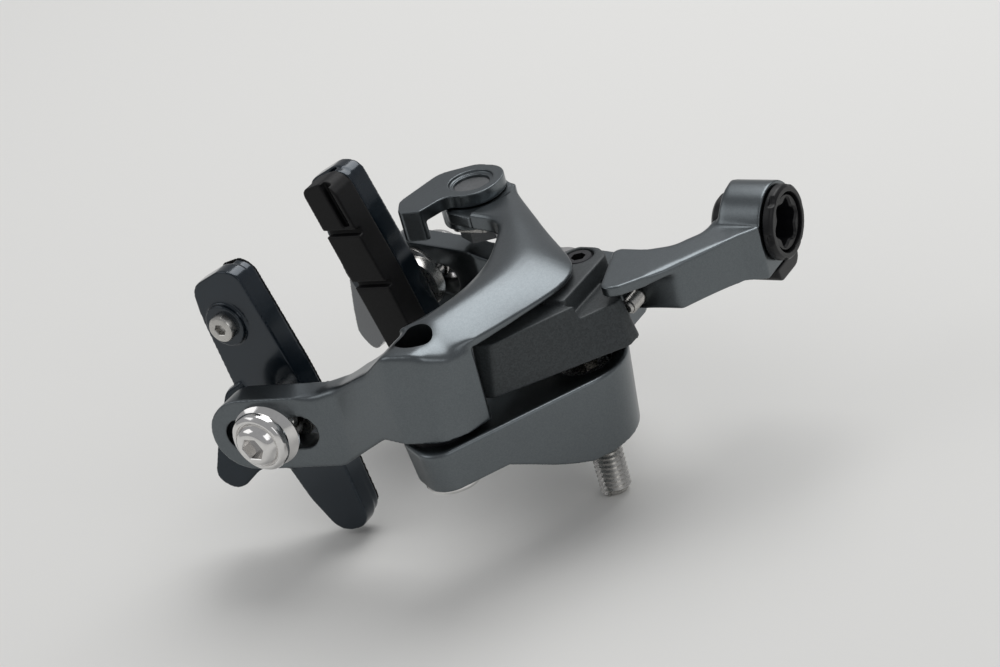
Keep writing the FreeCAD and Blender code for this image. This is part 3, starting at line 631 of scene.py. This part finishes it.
def thread_tree() -> bpy.types.NodeTree:
    """Makes the geometry tree that winds a thread.

    Returns:
        A tree with the inputs Radius, Pitch, Turns, Depth and Finish.
    """
    steps_a_turn, tooth_corners = 48, 4
    tree = bpy.data.node_groups.new("screw_thread", "GeometryNodeTree")
    face = tree.interface
    for name in ("Radius", "Pitch", "Turns", "Depth"):
        face.new_socket(name=name, in_out="INPUT", socket_type="NodeSocketFloat")
    face.new_socket(name="Finish", in_out="INPUT", socket_type="NodeSocketMaterial")
    face.new_socket(name="Geometry", in_out="OUTPUT", socket_type="NodeSocketGeometry")
    graph = ShaderGraph(tree)
    entry = graph.add("NodeGroupInput")
    leave = graph.add("NodeGroupOutput")
    height = graph.add("ShaderNodeMath", operation="MULTIPLY")
    graph.link(entry.outputs["Pitch"], height.inputs[0])
    graph.link(entry.outputs["Turns"], height.inputs[1])
    spiral = graph.add("GeometryNodeCurveSpiral", Resolution=steps_a_turn)
    graph.link(entry.outputs["Turns"], spiral.inputs["Rotations"])
    graph.link(entry.outputs["Radius"], spiral.inputs["Start Radius"])
    graph.link(entry.outputs["Radius"], spiral.inputs["End Radius"])
    graph.link(height.outputs[0], spiral.inputs["Height"])
    upright = graph.add("GeometryNodeSetCurveNormal", mode="Z_UP")
    graph.link(spiral.outputs[0], upright.inputs[0])
    tooth = graph.add("GeometryNodeCurvePrimitiveCircle", mode="RADIUS", Resolution=tooth_corners)
    graph.link(entry.outputs["Depth"], tooth.inputs["Radius"])
    ridge = graph.add("GeometryNodeCurveToMesh", Fill_Caps=True)
    graph.link(upright.outputs[0], ridge.inputs["Curve"])
    graph.link(tooth.outputs[0], ridge.inputs["Profile Curve"])
    real = graph.add("GeometryNodeRealizeInstances")
    graph.link(ridge.outputs[0], real.inputs[0])
    coat = graph.add("GeometryNodeSetMaterial")
    graph.link(real.outputs[0], coat.inputs["Geometry"])
    graph.link(entry.outputs["Finish"], coat.inputs["Material"])
    graph.link(coat.outputs[0], leave.inputs["Geometry"])
    return tree


@dataclass(frozen=True)
class Thread:
    """A screw thread.

    Attributes:
        radius: Outer radius in millimetres.
        pitch: Pitch in millimetres.
        turns: Number of turns.
        foot: Where it starts, in metres.
        axis: Direction.
    """

    # Depth of the tooth as a share of the pitch
    TOOTH = 0.52

    radius: float
    pitch: float
    turns: float
    foot: Vector
    axis: Axis

    def mesh(self, tree: bpy.types.NodeTree, material: bpy.types.Material) -> bpy.types.Mesh:
        """Winds the thread.

        Args:
            tree: The thread's geometry tree.
            material: Its material.

        Returns:
            The ridge in the row frame.
        """
        depth = self.TOOTH * self.pitch
        work = work_object(bpy.data.meshes.new("thread_work"), "thread_work")
        wind = work.modifiers.new("wind", "NODES")
        wind.node_group = tree
        values = {
            "Radius": (self.radius - depth) * MM,
            "Pitch": self.pitch * MM,
            "Turns": self.turns,
            "Depth": depth * MM,
            "Finish": material,
        }
        for item in tree.interface.items_tree:
            if item.in_out == "INPUT":
                wind[item.identifier] = values[item.name]
        mesh = evaluated(work)
        bpy.data.objects.remove(work)
        mesh.transform(self.axis.stand(self.foot))
        return mesh


class Workshop:
    """Holds the materials and the thread tree, and hands out finished pieces."""

    def __init__(self) -> None:
        """Builds every material and the thread tree once."""
        group = grain_group()
        self.materials = {finish.name: finish.material(group) for finish in ALL_FINISHES}
        self.threads = thread_tree()
        bodies = frame["record"]["behaviour"]["bodies"]
        self.body_of = {node: body for body, members in bodies.items() for node in members}

    def paint(self, node: str, finish: Finish) -> None:
        """Gives a CAD node its finish.

        Args:
            node: The CAD node.
            finish: The finish.
        """
        mesh = frame["nodes"][node].data
        mesh.materials.clear()
        mesh.materials.append(self.materials[finish.name])
        LOG.info("piece %s: %s", node, finish.name)

    def place(
        self, mesh: bpy.types.Mesh, name: str, finish: Finish, nodes: tuple[str, ...]
    ) -> bpy.types.Object:
        """Makes an object that stands for CAD nodes and rides on their body.

        Args:
            mesh: The final mesh in the row frame.
            name: Name of the piece.
            finish: Its finish.
            nodes: CAD nodes that it stands for; the first one gives the body.

        Returns:
            The placed object.
        """
        mesh.materials.clear()
        mesh.materials.append(self.materials[finish.name])
        piece = bpy.data.objects.new(name, mesh)
        bpy.context.scene.collection.objects.link(piece)
        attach(piece, self.body_of[nodes[0]])
        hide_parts(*nodes)
        LOG.info("piece %s: %d faces", name, len(mesh.polygons))
        return piece

    def soften(self, node: str, finish: Finish, recipe: Softening) -> bpy.types.Object:
        """Gives a CAD node the soft edges of a forging or moulding.

        Args:
            node: The CAD node.
            finish: Its finish.
            recipe: How it is softened.

        Returns:
            The softened piece.
        """
        return self.place(recipe.skin(node), node + "_skin", finish, (node,))

    def threaded(self, core: bpy.types.Mesh, thread: Thread, finish: Finish) -> bpy.types.Mesh:
        """Winds a thread round a core.

        Args:
            core: The turned core.
            thread: The thread.
            finish: Finish of the thread.

        Returns:
            The core and the thread in one mesh.
        """
        return joined([core, thread.mesh(self.threads, self.materials[finish.name])])


def upright_axis(node: str) -> Vector:
    """Finds the axis of an upright round node.

    Args:
        node: The CAD node.

    Returns:
        The point at height zero on its axis, in metres.
    """
    low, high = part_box(node)
    return Vector(((low.x + high.x) / 2, (low.y + high.y) / 2, 0))


@dataclass
class BracketGroup:
    """The bracket, the centre bolt and the pivot hardware.

    Attributes:
        skin: How the bracket is softened.
        bolt_tip: Height of the centre bolt's threaded end, in millimetres.
        bolt_seat: Height of its head's underside.
        bolt_top: Height of its head's top.
        bolt_core: Radius inside its thread.
        bolt_head: Radius of its head.
        bolt_thread: Outer radius of its thread.
        bolt_pitch: Pitch of its thread.
        bolt_turns: Turns of its thread.
        bolt_socket: Its socket across flats.
        bolt_socket_depth: Depth of its socket.
        pivot_shank: Radius of a pivot bolt's shank.
        pivot_head: Radius of a pivot bolt's head.
        pivot_head_height: Thickness of a pivot bolt's head.
        pivot_socket: A pivot bolt's socket across flats.
        pivot_socket_depth: Depth of a pivot bolt's socket.
    """

    skin: Softening = Softening(voxel=0.22, rounds=7, keep=0.6)
    bolt_tip: float = -12.4
    bolt_seat: float = 9.7
    bolt_top: float = 14.7
    bolt_core: float = 2.42
    bolt_head: float = 4.8
    bolt_thread: float = 3.0
    bolt_pitch: float = 1.0
    bolt_turns: float = 11.6
    bolt_socket: float = 5.0
    bolt_socket_depth: float = 3.0
    pivot_shank: float = 3.5
    pivot_head: float = 5.35
    pivot_head_height: float = 2.9
    pivot_socket: float = 4.0
    pivot_socket_depth: float = 2.0

    def build(self, shop: Workshop) -> None:
        """Builds the group.

        Args:
            shop: Materials and placement.
        """
        shop.soften("bracket", GUNMETAL, self.skin)
        self.centre_bolt(shop)
        for side in Side:
            self.pivot_bolt(shop, side)
        shop.paint("pivot_thrust_washers", PLASTIC)
        shop.paint("pivot_clips", STEEL)

    def centre_bolt(self, shop: Workshop) -> None:
        """Turns the centre bolt and winds its thread.

        Args:
            shop: Materials and placement.
        """
        tip, seat, top = self.bolt_tip, self.bolt_seat, self.bolt_top
        core, head = self.bolt_core, self.bolt_head
        bolt = turned([
            Ring(core - 0.52, tip),
            Ring(core - 0.07, tip + 0.5),
            Ring(core, tip + 1.0),
            Ring(core, seat),
            Ring(head, seat),
            Ring(head, top - 0.6),
            Ring(head - 0.18, top - 0.2),
            Ring(head - 0.5, top),
            *socket_rings(self.bolt_socket, top - self.bolt_socket_depth, top),
        ], Vector((0, 0, 0)), Axis.UP)
        foot = Vector((0, 0, tip + 0.6)) * MM
        thread = Thread(self.bolt_thread, self.bolt_pitch, self.bolt_turns, foot, Axis.UP)
        shop.place(shop.threaded(bolt, thread, STEEL), "centre_bolt", STEEL, ("mounting_bolt",))

    def pivot_bolt(self, shop: Workshop, side: Side) -> None:
        """Turns a pivot bolt, whose head faces down.

        Args:
            shop: Materials and placement.
            side: Its side of the brake.
        """
        node = "pivot_bolt_" + side.value
        low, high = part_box(node)
        shank, head = self.pivot_shank, self.pivot_head
        end = -high.z / MM
        face = -low.z / MM
        back = face - self.pivot_head_height
        bolt = turned([
            Ring(shank - 0.2, end),
            Ring(shank, end + 0.2),
            Ring(shank, back),
            Ring(head, back),
            Ring(head, face - 1.0),
            Ring(head - 0.35, face - 0.4),
            Ring(head - 1.05, face),
            *socket_rings(self.pivot_socket, face - self.pivot_socket_depth, face),
        ], upright_axis(node), Axis.DOWN)
        shop.place(bolt, "pivot_bolt_visual_" + side.value, CHROME, (node,))


@dataclass
class ArchGroup:
    """The arch arm, its cable anchor and the quick release.

    Attributes:
        hole_radius: Radius of the tool hole over the pivot, in millimetres.
        plug_radius: Radius just outside the hole in the solid.
        plug_floor: Height of the plug's foot, above the pivot bolt's end.
        hole_floor: Height where the hole's cutter starts, just under the plug.
        hole_top: Height well above the arch.
        skin: How the arch arm is softened, most where the arch flows into its leg.
        lever_skin: How the quick-release lever is softened.
    """

    hole_radius: float = 3.5
    plug_radius: float = 4.6
    plug_floor: float = 24.5
    hole_floor: float = 24.0
    hole_top: float = 45.0
    skin: Softening = Softening(
        voxel=0.22,
        rounds=5,
        keep=0.6,
        melts=(
            Melt((28.5, -13.0, 32.5), 10.0),
            Melt((30.0, -22.0, 29.0), 9.0),
            Melt((31.0, -33.0, 25.0), 9.0),
        ),
        melt_rounds=220,
    )
    lever_skin: Softening = Softening(voxel=0.15, rounds=6, keep=0.8)

    def build(self, shop: Workshop) -> None:
        """Builds the group.

        Args:
            shop: Materials and placement.
        """
        pivot = upright_axis("pivot_bolt_right")
        plug = surface_plug("arch_arm", pivot, self.plug_radius, self.plug_floor)
        hole = turned([
            Ring(self.hole_radius, self.hole_floor),
            Ring(self.hole_radius, self.hole_top),
        ], pivot, Axis.UP)
        shop.soften("arch_arm", GUNMETAL, replace(self.skin, plugs=(plug,), cutters=(hole,)))
        shop.soften("quick_release_lever", GUNMETAL, self.lever_skin)
        shop.paint("arch_bush", BUSH)
        shop.paint("cable_anchor_bolt", GREY_STEEL)
        shop.paint("cable_clamp_plate", STEEL)


@dataclass
class CableGroup:
    """The cable arm with the roller carrier and the adjuster.

    Attributes:
        bore_gap: Gap between the adjuster and its housing, in millimetres.
        bore_foot: Where the housing's bore starts along Y.
        bore_end: Where the bore's cutter ends along Y, past the housing.
        plug_gap: How far the bore's plug goes into the housing's wall.
        plug_foot: Where that plug starts along Y.
        housing_end: Where the housing ends along Y.
        screw_thread: Outer radius of the centring screw's thread.
        screw_pitch: Pitch of its thread.
        screw_core: Radius inside its thread.
        screw_socket: Its socket across flats.
        screw_socket_depth: Depth of its socket.
        tube_bore: Radius of the adjuster's bore for the cable.
        mouth_depth: Depth of the adjuster's lobed mouth.
        mouth_radius: Mean radius of that mouth.
        skin: How the cable arm is softened, most where its beam meets the housing and flange.
        carrier_skin: How the roller carrier is softened.
        knob_skin: How the adjuster's ring is softened.
        detent_skin: How the adjuster's detent is softened.
    """

    bore_gap: float = 0.35
    bore_foot: float = 14.5
    bore_end: float = 32.8
    plug_gap: float = 0.3
    plug_foot: float = 18.5
    housing_end: float = 27.8
    screw_thread: float = 1.5
    screw_pitch: float = 0.5
    screw_core: float = 1.18
    screw_socket: float = 1.5
    screw_socket_depth: float = 1.6
    tube_bore: float = 1.1
    mouth_depth: float = 4.4
    mouth_radius: float = 3.95
    skin: Softening = Softening(
        voxel=0.22,
        rounds=5,
        keep=0.6,
        melts=(
            Melt((-25.5, 17.5, 29.0), 9.0),
            Melt((-34.0, 19.5, 24.0), 6.0),
            Melt((-15.0, 16.5, 25.0), 9.5),
            Melt((-9.5, 16.0, 29.0), 5.0),
        ),
        melt_rounds=120,
    )
    carrier_skin: Softening = Softening(voxel=0.18, rounds=18, keep=0.6)
    knob_skin: Softening = Softening(voxel=0.15, rounds=3)
    detent_skin: Softening = Softening(voxel=0.18, rounds=10)

    def build(self, shop: Workshop) -> None:
        """Builds the group.

        Args:
            shop: Materials and placement.
        """
        self.cable_arm(shop)
        shop.soften("roller_carrier", CHARCOAL, self.carrier_skin)
        self.centring_screw(shop)
        shop.paint("barrel_bush", BUSH)
        shop.paint("cam_roller", STEEL)
        shop.paint("roller_pin", STEEL)
        shop.paint("carrier_screw", DARK_STEEL)
        self.adjuster_tube(shop)
        shop.soften("adjuster_knob", PLASTIC, self.knob_skin)
        shop.soften("adjuster_detent", PLASTIC, self.detent_skin)

    def cable_arm(self, shop: Workshop) -> None:
        """Softens the cable arm and opens its housing's bore again.

        Args:
            shop: Materials and placement.
        """
        low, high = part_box("adjuster_barrel")
        foot = Vector(((low.x + high.x) / 2, 0, (low.z + high.z) / 2))
        bore = (high.x - low.x) / 2 / MM + self.bore_gap
        plug = turned([
            Ring(bore + self.plug_gap, self.plug_foot),
            Ring(bore + self.plug_gap, self.housing_end),
        ], foot, Axis.ALONG_Y)
        cutter = turned([
            Ring(bore, self.bore_foot),
            Ring(bore, self.bore_end),
        ], foot, Axis.ALONG_Y)
        shop.soften("barrel_arm", GUNMETAL, replace(self.skin, plugs=(plug,), cutters=(cutter,)))

    def centring_screw(self, shop: Workshop) -> None:
        """Turns the centring screw, whose head faces -X, and winds its thread.

        Args:
            shop: Materials and placement.
        """
        low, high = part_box("centring_screw")
        tip = Vector((high.x, (low.y + high.y) / 2, (low.z + high.z) / 2))
        length = (high.x - low.x) / MM
        screw = turned([
            Ring(0.8, 0),
            Ring(self.screw_core - 0.03, 0.35),
            Ring(self.screw_core, length - 0.5),
            Ring(1.4, length - 0.4),
            Ring(1.3, length),
            *socket_rings(self.screw_socket, length - self.screw_socket_depth, length),
        ], tip, Axis.AGAINST_X)
        foot = tip - Vector((0.6, 0, 0)) * MM
        turns = length / self.screw_pitch - 2.4
        thread = Thread(self.screw_thread, self.screw_pitch, turns, foot, Axis.AGAINST_X)
        shop.place(shop.threaded(screw, thread, STEEL), "centring_screw_visual", STEEL, ("centring_screw",))

    def adjuster_tube(self, shop: Workshop) -> None:
        """Turns the adjuster's tube with its lobed mouth.

        Args:
            shop: Materials and placement.
        """
        low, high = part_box("adjuster_barrel")
        foot = Vector(((low.x + high.x) / 2, low.y, (low.z + high.z) / 2))
        length = (high.y - low.y) / MM
        outer, bore, mouth = (high.x - low.x) / 2 / MM, self.tube_bore, self.mouth_radius
        stop = length - self.mouth_depth
        tube = turned([
            Ring(bore, 0),
            Ring(outer - 0.6, 0),
            Ring(outer, 0.6),
            Ring(outer, length - 0.3),
            Ring(outer - 0.25, length),
            Ring(mouth + 0.35, length, Shape.LOBED),
            Ring(mouth, length - 0.4, Shape.LOBED),
            Ring(mouth - 0.2, stop, Shape.LOBED),
            Ring(bore + 0.3, stop),
            Ring(bore, stop - 0.3),
        ], foot, Axis.ALONG_Y, segments=144, hollow=True)
        shop.place(tube, "adjuster_tube_visual", PLASTIC, ("adjuster_barrel",))


@dataclass
class ShoeGroup:
    """One brake shoe with its fastening.

    Attributes:
        side: Its side of the brake.
        holder_skin: How the holder is softened.
        pad_skin: How the pad is softened.
        bolt_shank: Radius of the shoe bolt's shank, in millimetres.
        bolt_flange: Radius of its flange.
        bolt_head: Radius of its head where the head leaves the flange.
        bolt_head_height: How far its head stands past the flange.
        bolt_socket: Its socket across flats.
        bolt_socket_depth: Depth of its socket.
        screw_shank: Radius of the pad screw's shank.
        screw_head: Radius of its head.
        screw_head_height: Thickness of its head.
        screw_socket: Its socket across flats.
        screw_socket_depth: Depth of its socket.
    """

    side: Side
    holder_skin: Softening = Softening(voxel=0.2, rounds=9, keep=0.6)
    pad_skin: Softening = Softening(voxel=0.2, rounds=4, keep=0.7)
    bolt_shank: float = 2.95
    bolt_flange: float = 5.8
    bolt_head: float = 4.3
    bolt_head_height: float = 1.6
    bolt_socket: float = 4.0
    bolt_socket_depth: float = 2.6
    screw_shank: float = 1.5
    screw_head: float = 2.65
    screw_head_height: float = 1.5
    screw_socket: float = 2.0
    screw_socket_depth: float = 1.1

    def build(self, shop: Workshop) -> None:
        """Builds the shoe.

        Args:
            shop: Materials and placement.
        """
        shop.soften(self.node("shoe_holder"), HOLDER, self.holder_skin)
        shop.soften(self.node("brake_pad"), RUBBER, self.pad_skin)
        self.shoe_bolt(shop)
        shop.paint(self.node("dome_washer_inner"), STEEL)
        shop.paint(self.node("cup_washer"), STEEL)
        self.outer_washer(shop)
        self.pad_screw(shop)

    def node(self, piece: str) -> str:
        """Returns the name of this shoe's node for a piece."""
        return self.side.value + "_" + piece

    def seat(self, node: str) -> tuple[Vector, float]:
        """Finds where a fastener along X starts and how long it is.

        Args:
            node: The fastener's node.

        Returns:
            Its inner end on its axis, in metres, and its length in millimetres.
        """
        low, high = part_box(node)
        inner = low.x if self.side is Side.RIGHT else high.x
        return Vector((inner, (low.y + high.y) / 2, (low.z + high.z) / 2)), (high.x - low.x) / MM

    def shoe_bolt(self, shop: Workshop) -> None:
        """Turns the shoe bolt with its flange and domed head.

        Args:
            shop: Materials and placement.
        """
        node = self.node("shoe_bolt")
        foot, length = self.seat(node)
        shank, rim, head = self.bolt_shank, self.bolt_flange, self.bolt_head
        flange = length - self.bolt_head_height
        bolt = turned([
            Ring(shank - 0.25, 0),
            Ring(shank, 0.3),
            Ring(shank, flange - 0.6),
            Ring(rim - 0.8, flange - 2.0),
            Ring(rim - 0.05, flange - 1.8),
            Ring(rim, flange - 0.9),
            Ring(rim - 0.2, flange - 0.45),
            Ring(rim - 0.65, flange - 0.1),
            Ring(rim - 0.9, flange),
            Ring(rim - 1.2, flange),
            Ring(head + 0.15, flange - 0.25),
            Ring(head, flange - 0.2),
            Ring(head - 0.15, flange + 0.15),
            Ring(head - 0.3, flange + 0.6),
            Ring(head - 0.55, flange + 1.05),
            Ring(head - 1.0, flange + 1.4),
            Ring(head - 1.5, length),
            *socket_rings(self.bolt_socket, length - self.bolt_socket_depth, length),
        ], foot, self.side.outward())
        shop.place(bolt, node + "_visual", CHROME, (node,))

    def outer_washer(self, shop: Workshop) -> None:
        """Slides the outer washer along its seat onto the bolt's axis.

        Args:
            shop: Materials and placement.
        """
        node = self.node("dome_washer_outer")
        foot, _ = self.seat(self.node("shoe_bolt"))
        washer = frame["nodes"][node].data.copy()
        low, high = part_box(node)
        # The seat's normal, from the washer's largest flat face
        normal = max(washer.polygons, key=lambda polygon: polygon.area).normal
        slide = foot - (low + high) / 2
        slide.x = -(normal.y * slide.y + normal.z * slide.z) / normal.x
        washer.transform(Matrix.Translation(slide))
        LOG.info("%s slides by %.2f mm", node, slide.length / MM)
        shop.place(washer, node + "_visual", CHROME, (node,))

    def pad_screw(self, shop: Workshop) -> None:
        """Turns the small screw that holds the pad.

        Args:
            shop: Materials and placement.
        """
        node = self.node("pad_screw")
        foot, length = self.seat(node)
        shank, head = self.screw_shank, self.screw_head
        under = length - self.screw_head_height
        screw = turned([
            Ring(shank, 0),
            Ring(shank, under),
            Ring(head, under),
            Ring(head, length - 0.5),
            Ring(head - 0.2, length - 0.12),
            Ring(head - 0.55, length),
            *socket_rings(self.screw_socket, length - self.screw_socket_depth, length),
        ], foot, self.side.outward())
        shop.place(screw, node + "_visual", STEEL, (node,))


@dataclass(frozen=True)
class Lamp:
    """One studio light.

    Attributes:
        name: Name of the light.
        direction: From the object towards the light.
        distance: Distance in metres.
        size: Edge of the square light in metres.
        power: Power in watts.
    """

    name: str
    direction: Place
    distance: float
    size: float
    power: float

    def build(self, target: Vector) -> None:
        """Places the light and aims it.

        Args:
            target: The point it shines on.
        """
        light = bpy.data.lights.new(self.name, "AREA")
        light.shape = "SQUARE"
        light.size = self.size
        light.energy = self.power
        lamp = bpy.data.objects.new(self.name, light)
        away = Vector(self.direction).normalized()
        lamp.location = target + away * self.distance
        lamp.rotation_euler = away.to_track_quat("Z", "Y").to_euler()
        bpy.context.scene.collection.objects.link(lamp)


@dataclass(frozen=True)
class Studio:
    """Floor, lights, surroundings and camera.

    Attributes:
        lamps: The lights.
        target: Where the lights aim, in metres.
        floor_colour: Linear colour of the floor.
        floor_roughness: Roughness of the floor.
        floor_reach: Half the floor's edge in metres.
        floor_gap: Gap between the floor and the brake in metres.
        sky_colour: Colour of the surroundings.
        sky_strength: Strength of the surroundings.
        right: The camera's own X direction.
        up: The camera's own Y direction.
        back: The camera's own Z direction, from the brake to the camera.
        eye: Where the camera stands, in millimetres.
        lens: Focal length in millimetres.
        sensor: Sensor width in millimetres.
        near: Nearest distance that the camera sees, in metres.
    """

    lamps: tuple[Lamp, ...] = (
        Lamp("overhead", (-0.55, 0.0, 0.83), distance=0.9, size=0.7, power=4.9),
        Lamp("front_fill", (0.5, -0.75, 0.75), distance=1.1, size=0.7, power=1.5),
        Lamp("side_fill", (0.3, 0.9, 0.6), distance=1.2, size=0.6, power=1.2),
    )
    target: Place = (0.0, -0.015, 0.015)
    floor_colour: Colour = (0.78, 0.775, 0.755)
    floor_roughness: float = 0.75
    floor_reach: float = 4.0
    floor_gap: float = 0.00002
    sky_colour: Colour = (0.97, 0.98, 1.0)
    sky_strength: float = 0.36
    right: Place = (-0.473, 0.8475, -0.2409)
    up: Place = (-0.5133, -0.0429, 0.8572)
    back: Place = (0.7161, 0.5291, 0.4553)
    eye: Place = (353.1, 244.7, 244.9)
    lens: float = 97.3
    sensor: float = 36.0
    near: float = 0.01

    def floor(self) -> None:
        """Lays a pale floor just under the brake."""
        height = min(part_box(node)[0].z for node in frame["nodes"]) - self.floor_gap
        reach = self.floor_reach
        mesh = bpy.data.meshes.new("floor")
        around = [(-reach, -reach), (reach, -reach), (reach, reach), (-reach, reach)]
        mesh.from_pydata([(*corner, height) for corner in around], [], [(0, 1, 2, 3)])
        material = bpy.data.materials.new("pale_floor")
        material.use_nodes = True
        shader = material.node_tree.nodes["Principled BSDF"]
        shader.inputs["Base Color"].default_value = (*self.floor_colour, 1)
        shader.inputs["Roughness"].default_value = self.floor_roughness
        mesh.materials.append(material)
        floor = bpy.data.objects.new("floor", mesh)
        bpy.context.scene.collection.objects.link(floor)

    def surroundings(self) -> None:
        """Makes the pale room."""
        world = bpy.data.worlds.new("studio")
        world.use_nodes = True
        sky = world.node_tree.nodes["Background"]
        sky.inputs["Color"].default_value = (*self.sky_colour, 1)
        sky.inputs["Strength"].default_value = self.sky_strength
        bpy.context.scene.world = world

    def camera(self) -> None:
        """Sets the camera of the photograph."""
        lens = bpy.data.cameras.new("camera")
        lens.sensor_width = self.sensor
        lens.lens = self.lens
        lens.clip_start = self.near
        camera = bpy.data.objects.new("camera", lens)
        eye = Vector(self.eye) * MM
        rows = [[self.right[i], self.up[i], self.back[i], eye[i]] for i in range(3)]
        camera.matrix_world = Matrix(rows + [[0, 0, 0, 1]])
        bpy.context.scene.collection.objects.link(camera)
        bpy.context.scene.camera = camera

    def build(self) -> None:
        """Builds the whole studio."""
        self.floor()
        self.surroundings()
        for lamp in self.lamps:
            lamp.build(Vector(self.target))
        self.camera()
        bpy.context.scene.view_settings.view_transform = "Standard"


def main() -> None:
    logging.basicConfig(level=logging.INFO, format="%(name)s %(message)s")
    shop = Workshop()
    for group in (BracketGroup(), ArchGroup(), CableGroup(), ShoeGroup(Side.RIGHT), ShoeGroup(Side.LEFT)):
        group.build(shop)
    Studio().build()


if __name__ == "__main__":
    main()
